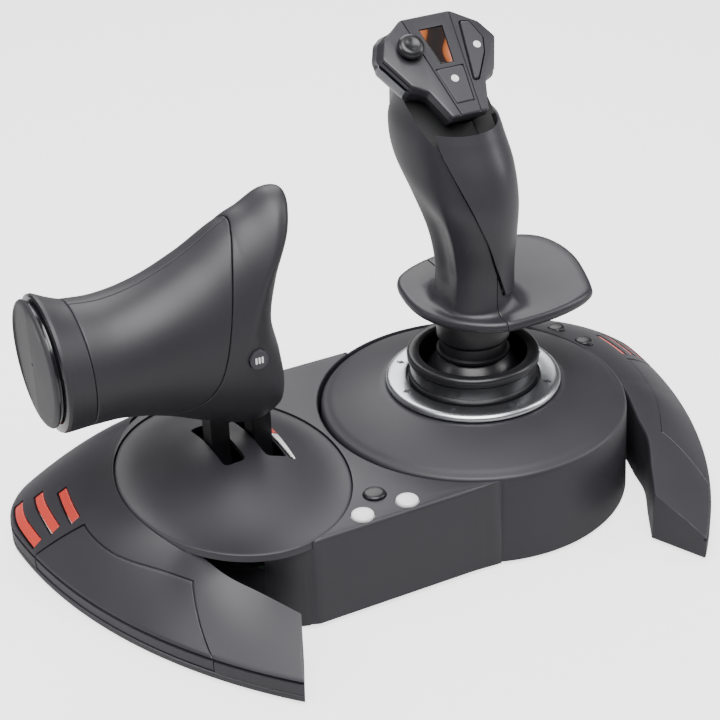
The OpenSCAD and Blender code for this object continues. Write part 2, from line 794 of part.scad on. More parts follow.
// Half outline of the head's face, from its lower edge up
face_half = [[8, -5], [20.5, 12], [28, 29], [24.5, 40], [12, 46.5]];
function face_outline(k, up = 0) = [
    for (p = face_half) [p[0] * k, (p[1] - 22) * k + 22 + up],
    for (i = [len(face_half) - 1:-1:0]) [-face_half[i][0] * k, (face_half[i][1] - 22) * k + 22 + up]
];
centre_pts = [[-4.2, 1], [4.2, 1], [6.7, 19], [-6.7, 19]];
right_pts = [[9.1, 10], [21.6, 30.4], [14, 39.6]];
window_pts = [[-3, 21.6], [3, 21.6], [5.6, 39.6], [-5.6, 39.6]];
hat_at = [-14.5, 31];
hat_depth = 8;
face_t = 2.4;
function centroid(p) = [for (k = [0, 1]) [for (q = p) q[k]] * [for (q = p) 1 / len(p)]];
function grown(p, k) = [for (q = p) centroid(p) + (q - centroid(p)) * k];
module slab(pts, n0, n1) {
    translate([0, 0, n0]) linear_extrude(n1 - n0) polygon(pts);
}
module head_shape(k, top, low) {
    hull() {
        slab(face_outline(0.96 * k), top - 0.6, top);
        slab(face_outline(1.03 * k), top - 6, top - 4);
        slab(face_outline(0.78 * k, 1), low, low + 0.5);
    }
}
module head_cover() {
    color(plastic) at_head() difference() {
        union() {
            difference() {
                head_shape(1, 0, -head_t);
                head_shape(0.88, -face_t, -head_t - 1);
            }
            // cradle of the hat switch
            for (e = [-1, 1]) translate([hat_at[0] + e * 5 - 1, hat_at[1] - 2.5, -hat_depth - 2.5])
                cube([2, 5, hat_depth + 1]);
        }
        translate([hat_at[0], hat_at[1], -hat_depth]) rod_x(1.2 + run, 14);
        translate([hat_at[0], hat_at[1], -face_t - 1]) cylinder(r = 5, h = 6);
        slab(grown(centre_pts, 1.05), -face_t - 1, 2);
        slab(grown(right_pts, 1.07), -face_t - 1, 2);
        slab(grown(window_pts, 1.04), -1.2, 2);
    }
}
module head_window() {
    color([0.85, 0.3, 0.15]) at_head() slab(window_pts, -1.1, 0.1);
}
module face_button(pts) {
    at_head() {
        slab(pts, -face_t - 1, 0.9);
        slab(grown(pts, 1.12), -face_t - 2, -face_t - 0.9);
    }
}
module centre_head_button() {
    color(plastic) face_button(centre_pts);
}
module right_head_button() {
    color(plastic) face_button(right_pts);
}
module hat_pivot() {
    color([0.85, 0.85, 0.83]) at_head() translate([hat_at[0], hat_at[1], -hat_depth]) difference() {
        union() {
            rod_x(1.2, 11.6);
            rod_x(2.4, 5);
        }
        rod_y(1 + run, 10);
    }
}
module hat_cap() {
    color(black) at_head() translate([hat_at[0], hat_at[1], 0]) {
        rotate_extrude() polygon([
            [0, -3.9], [2.4, -3.9], [2.4, 0.8], [5.6, 1.6], [6.1, 2.6], [5.9, 3.8], [4.8, 4.8],
            [3, 5.2], [1.5, 4.6], [0, 4.4]
        ]);
        for (e = [-1, 1]) translate([-1.6, e * 3.5 - 0.6, -hat_depth - 1.6])
            cube([3.2, 1.2, hat_depth - 1.9]);
        translate([0, 0, -5]) difference() {
            translate([-1.6, -4.1, 0]) cube([3.2, 8.2, 1.4]);
            translate([0, 0, -hat_depth + 5]) rod_x(2.9, 6);
        }
        translate([0, 0, -hat_depth]) rod_y(1, 8.2);
    }
}
trigger_x = 40;
trigger_y = 41;
trigger_z = 197;
module trigger() {
    color([0.32, 0.32, 0.34]) difference() {
        union() {
            hull() {
                translate([trigger_x, 44, 199]) rod_x(4, 14);
                translate([trigger_x, 51.5, 190]) rod_x(4, 14);
            }
            hull() {
                translate([trigger_x, 51.5, 190]) rod_x(4, 14);
                translate([trigger_x, 54, 175]) rod_x(3, 13);
            }
            translate([trigger_x, trigger_y, trigger_z]) rod_x(3.6, 14);
        }
        translate([trigger_x, trigger_y, trigger_z]) rod_x(1.5 + run, 30);
    }
}
module trigger_pin() {
    color([0.7, 0.71, 0.73]) translate([trigger_x, trigger_y, trigger_z]) rod_x(1.5, 26);
}

// ---------- throttle lever ----------

module throttle_bracket() {
    color(black) for (x = [-101, -53]) difference() {
        union() {
            translate([x, axle_y - 8, floor_top + 0.05]) cube([5, 16, axle_z - floor_top]);
            translate([x + 2.5, axle_y, axle_z]) rod_x(8, 5);
            translate([x - 2, axle_y - 11, floor_top + 0.05]) cube([9, 22, 2.5]);
        }
        translate([x, axle_y, axle_z]) rod_x(axle_r, 20);
    }
}
module throttle_axle() {
    color([0.7, 0.71, 0.73]) translate([lever_x, axle_y, axle_z]) rod_x(axle_r, 56);
}
yoke_top = 82;
module throttle_yoke() {
    color(black) difference() {
        union() {
            translate([lever_x, axle_y, axle_z]) rod_x(8, 2 * leg_x + leg_w);
            for (e = [-1, 1]) translate([lever_x + e * leg_x - leg_w / 2, axle_y - 5, axle_z])
                cube([leg_w, 10, yoke_top - axle_z]);
            translate([lever_x - leg_x - leg_w / 2, axle_y - 5, 70])
                cube([2 * leg_x + leg_w, 10, yoke_top - 70]);
        }
        translate([lever_x, axle_y, axle_z]) rod_x(axle_r + run, 60);
    }
}
module throttle_sensor() {
    color([0.2, 0.3, 0.6]) translate([-46.2, axle_y, axle_z]) {
        difference() {
            rod_x(8, 3.4);
            rod_x(axle_r, 8);
        }
        translate([-1.7, -4, floor_top + 2.6 - axle_z]) cube([3.4, 8, axle_z - floor_top - 8]);
    }
}
handle_y = 2;
// x, height of the middle, half height, half depth
handle_keys = [
    [-163, 122.5, 29.5, 29.5], [-158, 121.5, 30, 30], [-151, 119.6, 28.4, 28.4],
    [-145, 118.3, 27.2, 27.2], [-130, 117.3, 27, 27], [-112, 116.5, 31.3, 27],
    [-93, 116.2, 39.5, 28], [-74.5, 118, 48, 28], [-64.8, 120.5, 50, 28],
    [-55, 125, 50.5, 27], [-40, 128, 48, 25]
];
// height and x of the scooped thumb face on the handle's middle plane
thumb_keys = [
    [60, -68, 0], [70, -60, 0], [85, -53.5, 0], [102, -54.5, 0], [120, -57.5, 0], [140, -54, 0],
    [160, -47.5, 0], [180, -47, 0]
];
handle_xs = [-163, -158, -152, -145, -136, -124, -112, -102, -92, -82, -72, -62, -52, -42];
grip_wall = 2.6;
function thumb_x(z, y, d) = at(thumb_keys, z)[1] - d - 9 * pow((y - handle_y) / 20, 2);
module handle_solid(d, n) {
    intersection() {
        loft([for (x = handle_xs) let (k = at(handle_keys, x)) [
            for (j = [0:n - 1]) let (a = -360 * j / n)
                [x + (x == -163 ? d : 0), handle_y + (k[3] - d) * cos(a), k[1] + (k[2] - d) * sin(a)]
        ]]);
        loft([for (z = steps(62, 180, 10)) concat(
            [[-170, -60, z], [-170, 60, z]],
            [for (y = steps(32, -32, 6)) [thumb_x(z, y, d), y, z]]
        )]);
    }
}
cap_x = -145;
shell_x = -83;
module handle_shell() {
    skin() difference() {
        handle_solid(0, 28);
        handle_solid(grip_wall, 18);
        translate([lever_x - leg_x - leg_w / 2 - 0.5, axle_y - 5.5, 40])
            cube([2 * leg_x + leg_w + 1, 11, 48]);
        children();
    }
}
module keep_box(x0, x1, y0, y1) {
    difference() {
        translate([-200, -60, 40]) cube([180, 120, 160]);
        translate([x0, y0, 30]) cube([x1 - x0, y1 - y0, 180]);
    }
}
rocker_c = [-117, 34, 118];
module palm_shell() {
    color(plastic) handle_shell() keep_box(cap_x + seam / 2, shell_x - seam / 2, -50, handle_y - half_gap);
}
module finger_shell() {
    color(plastic) handle_shell() {
        keep_box(cap_x + seam / 2, shell_x - seam / 2, handle_y + half_gap, 50);
        translate([rocker_c[0] - 6, 24, rocker_c[2] - 10]) cube([12, 20, 20]);
    }
}
module end_cap() {
    color(plastic) skin() difference() {
        handle_solid(0, 28);
        handle_solid(grip_wall, 18);
        translate([cap_x - seam / 2, -60, 40]) cube([120, 120, 160]);
    }
}
thumb_spots = [[-49.3, 158, 5.5], [-54, 141, 5]];
finger_spots = [[-70, 140], [-70, 121]];
oval_at = [-74.5, 113];
module thumb_housing() {
    color(plastic) difference() {
        handle_shell() {
            keep_box(shell_x + seam / 2, -20, -50, 50);
            translate([oval_at[0], -40, oval_at[1]]) rotate([-90, 0, 0]) cylinder(r = 4.4, h = 30);
            for (p = thumb_spots) translate([p[0] - 8, handle_y, p[1]]) rotate([0, 90, 0])
                cylinder(r = p[2] + 0.3, h = 20);
        }
        for (p = finger_spots) {
            translate([p[0], 30, p[1]]) rod_y(4.8, 22);
            translate([p[0], 15.2, p[1]]) rod_y(6.4, 12.4);
        }
        translate([oval_at[0], -15.2, oval_at[1]]) rod_y(5.6, 12.4);
    }
}
module thumb_button(i, proud) {
    p = thumb_spots[i];
    translate([p[0] - 6, handle_y, p[1]]) rotate([0, 90, 0]) {
        cylinder(r = p[2], h = 6 + proud - 1);
        translate([0, 0, 6 + proud - 1]) cylinder(r1 = p[2], r2 = p[2] - 1, h = 1);
        translate([0, 0, 0]) cylinder(r = p[2] + 1.6, h = 1.4);
    }
}
module thumb_button_upper() {
    color(black) thumb_button(0, 2.4);
}
module thumb_button_lower() {
    color(black) thumb_button(1, 2);
}
module oval_button() {
    color([0.35, 0.35, 0.37]) translate([oval_at[0], -27.2, oval_at[1]]) rotate([-90, 0, 0]) {
        cylinder(r = 4.1, h = 7);
        translate([0, 0, 6]) cylinder(r = 5.2, h = 1);
    }
}
module rocker_bracket() {
    color(black) translate(rocker_c) difference() {
        union() {
            translate([-7, -14, -11]) cube([14, 2.4, 22]);
            for (e = [-1, 1]) translate([-3.5, -12, e * 8.2 - 1.2]) cube([7, 12, 2.4]);
            for (e = [-1, 1]) translate([0, 0, e * 8.2 - 1.2]) cylinder(r = 3.5, h = 2.4);
        }
        translate([0, 0, -20]) cylinder(r = 1.5, h = 40);
    }
}
module rocker_paddle() {
    color(plastic) translate(rocker_c) difference() {
        union() {
            translate([0, 0, -6.8]) cylinder(r = 3.2, h = 13.6);
            translate([-2, 0, -6.8]) cube([4, 4, 13.6]);
            translate([0, 0, -7.5]) linear_extrude(15) polygon(concat(
                [for (x = steps(-26, 26, 8)) [x, 5.4 - 1.2 * pow(x / 26, 2)]],
                [for (x = steps(26, -26, 8)) [x, 3 - 1.2 * pow(x / 26, 2) + (abs(x) < 5 ? 0.8 : 0)]]
            ));
        }
        translate([0, 0, -20]) cylinder(r = 1.5 + run, h = 40);
    }
}
module rocker_pin() {
    color([0.7, 0.71, 0.73]) translate(rocker_c) translate([0, 0, -9.3]) cylinder(r = 1.5, h = 18.6);
}
module finger_button(i) {
    translate([finger_spots[i][0], 19.6, finger_spots[i][1]]) rotate([-90, 0, 0]) {
        cylinder(r = 4.5, h = i == 0 ? 11.4 : 12.4);
        cylinder(r = 6, h = 1.4);
    }
}
module finger_button_upper() {
    color(black) finger_button(0);
}
module finger_button_lower() {
    color(black) finger_button(1);
}

stick_base_cover();
stick_base_floor();
throttle_base_cover();
throttle_base_floor();
right_wing_cover();
quadrant_cover();
left_wing_plate();
right_wing_plate();
left_vent_inserts();
right_vent_inserts();
trim_ring();
stick_collar();
rubber_feet();
base_screws();
ballast_weights();
module_link();
main_board();
button_board();
select_button();
mode_button();
start_button();
wing_button_front();
wing_button_rear();
throttle_scale();
gimbal_frame();
pitch_ring();
stick_shaft();
centring_spring();
spring_retainer();
gimbal_boot();
neck_sleeve();
twist_bush();
twist_sensor();
left_grip_shell();
right_grip_shell();
palm_panel();
head_cover();
head_window();
hat_pivot();
hat_cap();
centre_head_button();
right_head_button();
trigger();
trigger_pin();
throttle_bracket();
throttle_axle();
throttle_yoke();
throttle_sensor();
palm_shell();
finger_shell();
thumb_housing();
end_cap();
thumb_button_upper();
thumb_button_lower();
oval_button();
rocker_bracket();
rocker_paddle();
rocker_pin();
finger_button_upper();
finger_button_lower();
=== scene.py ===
"""Looks of the flight joystick: a twist stick and a throttle lever on one winged desk base."""
import json
import math

import bpy
import bmesh
import numpy as np
from mathutils import Matrix, Vector


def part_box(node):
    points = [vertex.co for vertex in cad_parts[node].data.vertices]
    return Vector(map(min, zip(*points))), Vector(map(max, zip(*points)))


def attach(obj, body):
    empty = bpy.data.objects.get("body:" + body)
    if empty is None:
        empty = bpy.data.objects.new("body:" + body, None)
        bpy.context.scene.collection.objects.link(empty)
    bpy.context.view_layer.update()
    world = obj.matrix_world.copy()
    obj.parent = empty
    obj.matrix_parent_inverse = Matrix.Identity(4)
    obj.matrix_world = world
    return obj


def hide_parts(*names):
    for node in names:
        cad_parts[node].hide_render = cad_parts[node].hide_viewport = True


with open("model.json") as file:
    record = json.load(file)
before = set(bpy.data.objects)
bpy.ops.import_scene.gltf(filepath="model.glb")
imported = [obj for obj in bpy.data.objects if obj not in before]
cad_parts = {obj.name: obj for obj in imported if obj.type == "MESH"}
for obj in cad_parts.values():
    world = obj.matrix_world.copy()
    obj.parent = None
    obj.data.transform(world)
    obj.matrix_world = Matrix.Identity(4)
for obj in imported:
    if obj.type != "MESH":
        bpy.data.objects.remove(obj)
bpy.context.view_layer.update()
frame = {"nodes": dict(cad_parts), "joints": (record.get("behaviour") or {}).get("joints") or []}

# Sizes are in millimetres, in the part's own frame, unless a name says otherwise.
MM = 0.001
FINE = 4          # close steps at each end of a grid line
THIN = 0.2        # least thickness of a sheet at its rounded edges
TINY = 0.02       # radius of the small hole left on a turned piece's axis
PLAY = 0.35       # gap round a button's cap
JOINTS = {j["name"]: j for j in frame["joints"]}


def node_box(node):
    """Lowest and highest corner of a CAD node, in millimetres."""
    low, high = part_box(node)
    return np.array(low) / MM, np.array(high) / MM


def middle(node):
    low, high = node_box(node)
    return (low + high) / 2


def width_x(node):
    low, high = node_box(node)
    return high[0] - low[0]


def joint_at(name):
    return np.array(JOINTS[name]["pos_m"]) / MM


# ---- driving sizes

STICK_X, _, PIVOT_Z = joint_at("stick_pitch")
LEVER_X, AXLE_Y, _ = joint_at("throttle_swing")
BASE_Z = node_box("throttle_base_cover")[0][2]
DISC_TOP = node_box("trim_ring")[0][2]
RING_R = width_x("trim_ring") / 2
COLLAR_R = width_x("stick_collar") / 2
DISC_R = 72.0
DECK_H = 46.0
RIM_H = 12.5
WING_R = 250.0
WING_C = np.array([-80.0, 62.0])
TIP_ANGLE, SIDE_ANGLE = -44.0, -3.4
REAR_Y = 93.0
SPLIT_X = 12.0
FRONT_Y, BACK_Y = -69.0, 67.6
SEAM_R = DISC_R + 1.6
SEAM = 0.3

# ---- curves


def spline(keys, u):
    """Rows of a key table at u, smoothed through the keys; the first column is u itself."""
    keys = np.asarray(keys, float)
    u = np.asarray(u, float)
    i = np.clip(np.searchsorted(keys[:, 0], u, side="right") - 1, 0, len(keys) - 2)
    b, c = keys[i], keys[i + 1]
    a = np.where((i > 0)[..., None], keys[np.maximum(i - 1, 0)], 2 * b - c)
    d = np.where((i < len(keys) - 2)[..., None], keys[np.minimum(i + 2, len(keys) - 1)], 2 * c - b)
    return between_keys(a, b, c, d, ((u - b[..., 0]) / (c[..., 0] - b[..., 0]))[..., None])


def between_keys(a, b, c, d, t):
    return b + 0.5 * t * (c - a + t * (2 * a - 5 * b + 4 * c - d + t * (3 * (b - c) + d - a)))


def ring_spline(points, count):
    """A closed smooth curve through points, as count points."""
    p = np.asarray(points, float)
    n = len(p)
    u = np.linspace(0, n, count, endpoint=False)
    i = np.floor(u).astype(int)
    return between_keys(*[p[(i + k) % n] for k in (-1, 0, 1, 2)], (u - i)[:, None])


def smooth(x):
    x = np.clip(x, 0, 1)
    return x * x * (3 - 2 * x)


def mix(a, b, t):
    return a + (b - a) * t


def cosd(a):
    return np.cos(np.radians(a))


def sind(a):
    return np.sin(np.radians(a))


def edged(n, edge):
    """n even steps from 0 to 1, with FINE closer ones inside the first and last share edge."""
    fine = edge * (1 - np.cos(np.linspace(0, math.pi / 2, FINE, endpoint=False)))
    return np.concatenate([fine, np.linspace(edge, 1 - edge, n), 1 - fine[::-1]])


# ---- meshes


def grid_faces(m, n, wrap_i=False, wrap_j=False, flip=False, start=0):
    i = np.arange(m if wrap_i else m - 1)
    j = np.arange(n if wrap_j else n - 1)
    i, j = np.meshgrid(i, j, indexing="ij")
    i, j = i.ravel(), j.ravel()
    i2, j2 = (i + 1) % m, (j + 1) % n
    f = np.stack([i * n + j, i2 * n + j, i2 * n + j2, i * n + j2], 1) + start
    return f[:, ::-1] if flip else f


def normals(p, wrap_j=False, flip=False):
    def diff(a, axis, wrap):
        if wrap:
            return np.roll(a, -1, axis) - np.roll(a, 1, axis)
        return np.gradient(a, axis=axis)
    n = np.cross(diff(p, 0, False), diff(p, 1, wrap_j))
    n /= np.maximum(np.linalg.norm(n, axis=2, keepdims=True), 1e-9)
    return -n if flip else n


def run_lengths(p, axis):
    """Distance of each grid point from both ends of its grid line."""
    step = np.linalg.norm(np.diff(p, axis=axis), axis=2)
    zero = np.zeros_like(np.take(step, [0], axis))
    along = np.concatenate([zero, np.cumsum(step, axis)], axis)
    return along, np.take(along, [-1], axis) - along


def lip(distance, r):
    """How far a rounded edge of radius r sits below its face, by distance from the edge."""
    inside = np.clip(r - distance, 0, r)
    return r - np.sqrt(np.maximum(r * r - inside * inside, 0))


def finish_mesh(name, verts, faces, mats, indices=None, angle=38):
    me = bpy.data.meshes.new(name)
    me.from_pydata((np.asarray(verts) * MM).tolist(), [], [list(map(int, f)) for f in faces])
    for m in mats:
        me.materials.append(m)
    if indices is not None:
        me.polygons.foreach_set("material_index", np.asarray(indices, np.int32))
    me.update()
    obj = bpy.data.objects.new(name, me)
    bpy.context.scene.collection.objects.link(obj)
    soften(obj, angle)
    return obj


def soften(obj, angle=38):
    me = obj.data
    me.polygons.foreach_set("use_smooth", np.ones(len(me.polygons), bool))
    me.set_sharp_from_angle(angle=math.radians(angle))
    me.update()


def install(obj, body, node):
    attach(obj, body)
    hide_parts(node)


def shaped(name, solid, looks, idx=None, angle=38):
    """A mesh with its faces outwards, in the named looks; idx gives each face's look."""
    return orient(finish_mesh(name, *solid, [M[k] for k in looks.split()], idx, angle))


def piece(name, solid, looks, body, node, idx=None, angle=38):
    install(shaped(name, solid, looks, idx, angle), body, node)


def joined(parts):
    """One vertex and face list from (verts, faces) parts; faces may be quads, triangles or longer."""
    verts, faces, count = [], [], 0
    for v, f in parts:
        verts.append(np.asarray(v, float).reshape(-1, 3))
        faces += [[int(k) + count for k in face] for face in f]
        count += len(verts[-1])
    return np.concatenate(verts), faces


def closed_plate(p, thick, r=0.4, edges="iIjJ", flip=False, wrap_j=False):
    """A closed sheet under the grid p, with its named edges rounded. i and I are the first and
    last rows, j and J the first and last columns."""
    n = normals(p, wrap_j=wrap_j, flip=flip)
    drop = np.zeros(p.shape[:2])
    for axis, pair in ((0, "iI"), (1, "jJ")):
        near, far = run_lengths(p, axis)
        if pair[0] in edges:
            drop = np.maximum(drop, lip(near, r))
        if pair[1] in edges:
            drop = np.maximum(drop, lip(far, r))
    top = p - n * drop[..., None]
    return between(top, p - n * np.maximum(thick, drop + THIN)[..., None], flip, wrap_j)


def between(top, under, flip=False, wrap_j=False):
    """The closed solid between two matching grids."""
    m, k = top.shape[:2]
    top_faces = grid_faces(m, k, wrap_j=wrap_j, flip=flip)
    under_faces = grid_faces(m, k, wrap_j=wrap_j, flip=not flip, start=m * k)
    idx = np.arange(m * k).reshape(m, k)
    if wrap_j:
        borders = [np.append(idx[0], idx[0, 0]), np.append(idx[-1], idx[-1, 0])[::-1]]
    else:
        borders = [np.concatenate([idx[0], idx[1:, -1], idx[-1, -2::-1], idx[-2:0:-1, 0], idx[0, :1]])]
    sides = []
    for b in borders:
        quad = np.stack([b[:-1], b[1:], b[1:] + m * k, b[:-1] + m * k], 1)
        sides.append(quad if not flip else quad[:, ::-1])
    faces = np.concatenate([top_faces, under_faces] + sides)
    return np.concatenate([top.reshape(-1, 3), under.reshape(-1, 3)]), faces


def ring_loft(p):
    """A closed solid through the rings p[i], with one face over each end."""
    m, n = p.shape[:2]
    faces = [list(f) for f in grid_faces(m, n, wrap_j=True)]
    faces += [list(range(n))[::-1], list(range((m - 1) * n, m * n))]
    return p.reshape(-1, 3), faces


def lathe(profile, centre, steps=160):
    """A closed turned solid about a vertical axis; profile is a closed loop of (radius, height)."""
    prof = np.asarray(profile, float)
    a = np.linspace(0, 2 * math.pi, steps, endpoint=False)
    p = np.stack([
        centre[0] + prof[:, :1] * np.cos(a)[None],
        centre[1] + prof[:, :1] * np.sin(a)[None],
        np.repeat(prof[:, 1:2], steps, 1),
    ], 2)
    return p.reshape(-1, 3), grid_faces(len(prof), steps, wrap_i=True, wrap_j=True, flip=True)


def rounded(points, r, k=5):
    """A closed polygon (2-D) with its corners rounded by r, in k points each."""
    pts = np.asarray(points, float)
    out = []
    for i, p in enumerate(pts):
        a, b = pts[i - 1], pts[(i + 1) % len(pts)]
        ua, ub = (a - p) / np.linalg.norm(a - p), (b - p) / np.linalg.norm(b - p)
        half = math.acos(max(-1, min(1, float(ua @ ub)))) / 2
        cut = min(r / math.tan(half), 0.48 * np.linalg.norm(a - p), 0.48 * np.linalg.norm(b - p))
        for t in np.linspace(0, 1, k):
            s, e = p + ua * cut, p + ub * cut
            out.append((1 - t) ** 2 * s + 2 * t * (1 - t) * p + t * t * e)
    return np.array(out)


def carve(obj, tools):
    """Cuts the tools out of obj and removes them."""
    for t in tools:
        mod = obj.modifiers.new("cut", "BOOLEAN")
        mod.operation = "DIFFERENCE"
        mod.solver = "EXACT"
        mod.object = t
        bpy.context.view_layer.objects.active = obj
        with bpy.context.temp_override(object=obj, active_object=obj):
            bpy.ops.object.modifier_apply(modifier=mod.name)
        bpy.data.objects.remove(t, do_unlink=True)


def prism(outline, z0, z1, edge=0.0):
    """A solid over a closed outline, its upper edge rounded towards the outline's middle."""
    o = np.asarray(outline, float)
    rings = [np.column_stack([o, np.full(len(o), z0)])]
    c = o.mean(0)
    size = np.linalg.norm(o - c, axis=1).mean()
    for a in np.linspace(0, math.pi / 2, 4 if edge > 0 else 1):
        f = 1 - edge * (1 - math.cos(a)) / size
        rings.append(np.column_stack([c + (o - c) * f, np.full(len(o), z1 - edge * (1 - math.sin(a)))]))
    return ring_loft(np.array(rings))


# ---- materials


def feed(tree, node, inputs):
    """Sets a shader node's inputs; one given as a socket is linked."""
    for name, value in inputs.items():
        if isinstance(value, bpy.types.NodeSocket):
            tree.links.new(value, node.inputs[name])
        else:
            node.inputs[name].default_value = value


def add(tree, kind, inputs, **settings):
    node = tree.nodes.new("ShaderNode" + kind)
    for name, value in settings.items():
        setattr(node, name, value)
    feed(tree, node, inputs)
    return node


def moulded(name, colour, rough=0.5, grain=0.35, grain_mm=0.5, mottle=0.12, wear=0.25, coat=0.0):
    """Moulded plastic: a fine spark-eroded grain, slow colour drift, and polished edges."""
    mat = bpy.data.materials.new(name)
    mat.use_nodes = True
    nt = mat.node_tree
    place = add(nt, "TexCoord", {}).outputs["Object"]
    fine = add(nt, "TexNoise", {"Vector": place, "Scale": 1000 / grain_mm, "Detail": 2}).outputs["Fac"]
    slow = add(nt, "TexNoise", {"Vector": place, "Scale": 28, "Detail": 3}).outputs["Fac"]
    dark, light = [[c * k for c in colour] + [1] for k in (1 - mottle, 1 + mottle)]
    drift = add(nt, "Mix", {"Factor": slow, "A": dark, "B": light}, data_type="RGBA")
    edge = add(nt, "MapRange", {"Value": add(nt, "NewGeometry", {}).outputs["Pointiness"],
                                "From Min": 0.52, "From Max": 0.62, "To Max": wear})
    bright = [min(1, c * 2.2 + 0.02) for c in colour] + [1]
    worn = add(nt, "Mix", {"Factor": edge.outputs["Result"], "A": drift.outputs["Result"], "B": bright},
               data_type="RGBA")
    shine = add(nt, "MapRange", {"Value": slow, "To Min": rough - 0.06, "To Max": rough + 0.08})
    bump = add(nt, "Bump", {"Height": fine, "Strength": grain, "Distance": 0.00006})
    feed(nt, nt.nodes["Principled BSDF"],
         {"Base Color": worn.outputs["Result"], "Roughness": shine.outputs["Result"],
          "Normal": bump.outputs["Normal"], "Coat Weight": coat, "Coat Roughness": 0.12})
    return mat


def metal(name, colour, rough=0.3, brushed=0.4):
    """Satin metal with a fine grain and slight tarnish."""
    mat = moulded(name, colour, rough, grain=brushed, grain_mm=0.3, mottle=0.06, wear=0.3)
    mat.node_tree.nodes["Principled BSDF"].inputs["Metallic"].default_value = 1.0
    return mat


CHARCOAL = (0.024, 0.0225, 0.028)
M = {
    "shell": moulded("base_plastic", CHARCOAL, 0.46, grain=0.3),
    "grip": moulded("grip_plastic", (0.022, 0.021, 0.026), 0.38, grain=0.22, grain_mm=0.4),
    "soft": moulded("soft_grip", (0.020, 0.019, 0.023), 0.46, grain=0.4, grain_mm=0.35),
    "panel": moulded("palm_plastic", (0.028, 0.026, 0.032), 0.40, grain=0.25),
    "black": moulded("black_plastic", (0.010, 0.010, 0.012), 0.32, grain=0.2),
    # painted shade: a near-black look for the shadowed gap under the stick's head
    "painted_gap_shade": moulded("painted_shade_black", (0.004, 0.004, 0.005), 0.7, grain=0.1, wear=0),
    "gloss": moulded("gloss_black", (0.008, 0.008, 0.010), 0.18, grain=0.05, coat=0.5),
    "trigger": moulded("trigger_plastic", (0.12, 0.12, 0.13), 0.25, grain=0.08, coat=0.3),
    "silver": metal("silver_trim", (0.62, 0.63, 0.66), 0.28, brushed=0.25),
    "steel": metal("turned_steel", (0.42, 0.43, 0.45), 0.32),
    "red": moulded("red_insert", (0.62, 0.050, 0.035), 0.34, grain=0.12, mottle=0.08, wear=0.1, coat=0.2),
    "white": moulded("white_plastic", (0.82, 0.82, 0.82), 0.22, grain=0.05, mottle=0.02, wear=0.0, coat=0.4),
    "rubber": moulded("rubber", (0.015, 0.015, 0.015), 0.75, grain=0.6),
    "acetal": moulded("acetal", (0.55, 0.54, 0.50), 0.4, grain=0.1, mottle=0.03),
    "board": moulded("circuit_board", (0.012, 0.09, 0.035), 0.35, grain=0.3, grain_mm=2.0, mottle=0.3,
                     coat=0.3),
    "sensor": moulded("sensor_blue", (0.03, 0.07, 0.24), 0.4),
    "window": moulded("display_window", (0.30, 0.045, 0.02), 0.12, grain=0.02, mottle=0.5, wear=0.0,
                      coat=0.8),
    "mark": moulded("printed_mark", (0.03, 0.03, 0.035), 0.45, grain=0.05, wear=0.0),
}


def banded(mat, bands, angle):
    """Replaces a material's colour by slanting bands of colours, given as (position, colour)."""
    nt = mat.node_tree
    spun = add(nt, "Mapping", {"Vector": add(nt, "TexCoord", {}).outputs["Object"], "Rotation": angle})
    wave = add(nt, "TexWave", {"Vector": spun.outputs["Vector"], "Scale": 34, "Distortion": 5, "Detail": 1})
    ramp = add(nt, "ValToRGB", {"Fac": wave.outputs["Fac"]})
    stops = ramp.color_ramp.elements
    for stop, (at, colour) in ((stops[0], bands[0]), (stops[1], bands[-1])):
        stop.color, stop.position = (*colour, 1), at
    for at, colour in bands[1:-1]:
        stops.new(at).color = (*colour, 1)
    feed(nt, nt.nodes["Principled BSDF"], {"Base Color": ramp.outputs["Color"]})


# the window's orange tint is its own; the slanting dark and bright bands over it are painted reflections
banded(M["window"], [(0.0, (0.01, 0.008, 0.008)), (0.45, (0.02, 0.008, 0.006)), (0.6, (0.22, 0.06, 0.012)),
                     (0.85, (0.30, 0.085, 0.03)), (1.0, (0.42, 0.14, 0.10))], (0.6, 0.3, 0.9))
CARRIED = {
    "black": ["stick_base_floor", "throttle_base_floor", "throttle_bracket", "gimbal_frame",
              "spring_retainer", "rocker_bracket", "throttle_yoke"],
    "gloss": ["rocker_paddle"],
    "trigger": ["trigger"],
    "rubber": ["rubber_feet"],
    "steel": ["base_screws", "ballast_weights", "module_link", "stick_shaft", "trigger_pin",
              "throttle_axle", "rocker_pin", "centring_spring"],
    "board": ["main_board", "button_board"],
    "acetal": ["pitch_ring", "twist_bush", "hat_pivot"],
    "sensor": ["twist_sensor", "throttle_sensor"],
}
for look, names in CARRIED.items():
    for n in names:
        mesh = frame["nodes"][n].data
        mesh.materials.clear()
        mesh.materials.append(M[look])
ROUNDED = {"throttle_yoke": 0.9, "trigger": 1.2, "rocker_paddle": 0.35, "throttle_bracket": 0.5}
for n, width in ROUNDED.items():
    carried = frame["nodes"][n]
    weld = carried.modifiers.new("weld", "WELD")
    weld.merge_threshold = 0.005 * MM
    bevel = carried.modifiers.new("edges", "BEVEL")
    bevel.width = width * MM
    bevel.segments = 3
    bevel.limit_method = "ANGLE"
    bevel.angle_limit = math.radians(35)
    bevel.harden_normals = True

# ---- wings

# q, inner edge x and y, crest height, bulge; q runs from the prong's tip to the joint of the
# two modules behind
CREST = [
    [0, 88.3, -86.5, 25.7, 0.1], [1, 98, -69.5, 28.7, 0.25], [2, 107.5, -53, 31.5, 0.4],
    [3, 113, -35, 34.5, 0.5], [4, 124, -12, 39.5, 0.55], [5, 128.5, 12, 43, 0.55],
    [6, 121, 36, 44.8, 0.5], [7, 109, 54, 45.8, 0.45], [8, 95, 66, 46, 0.4],
    [9, 40, 66, 46, 0.4], [10, -11.85, 66, 46, 0.4],
]
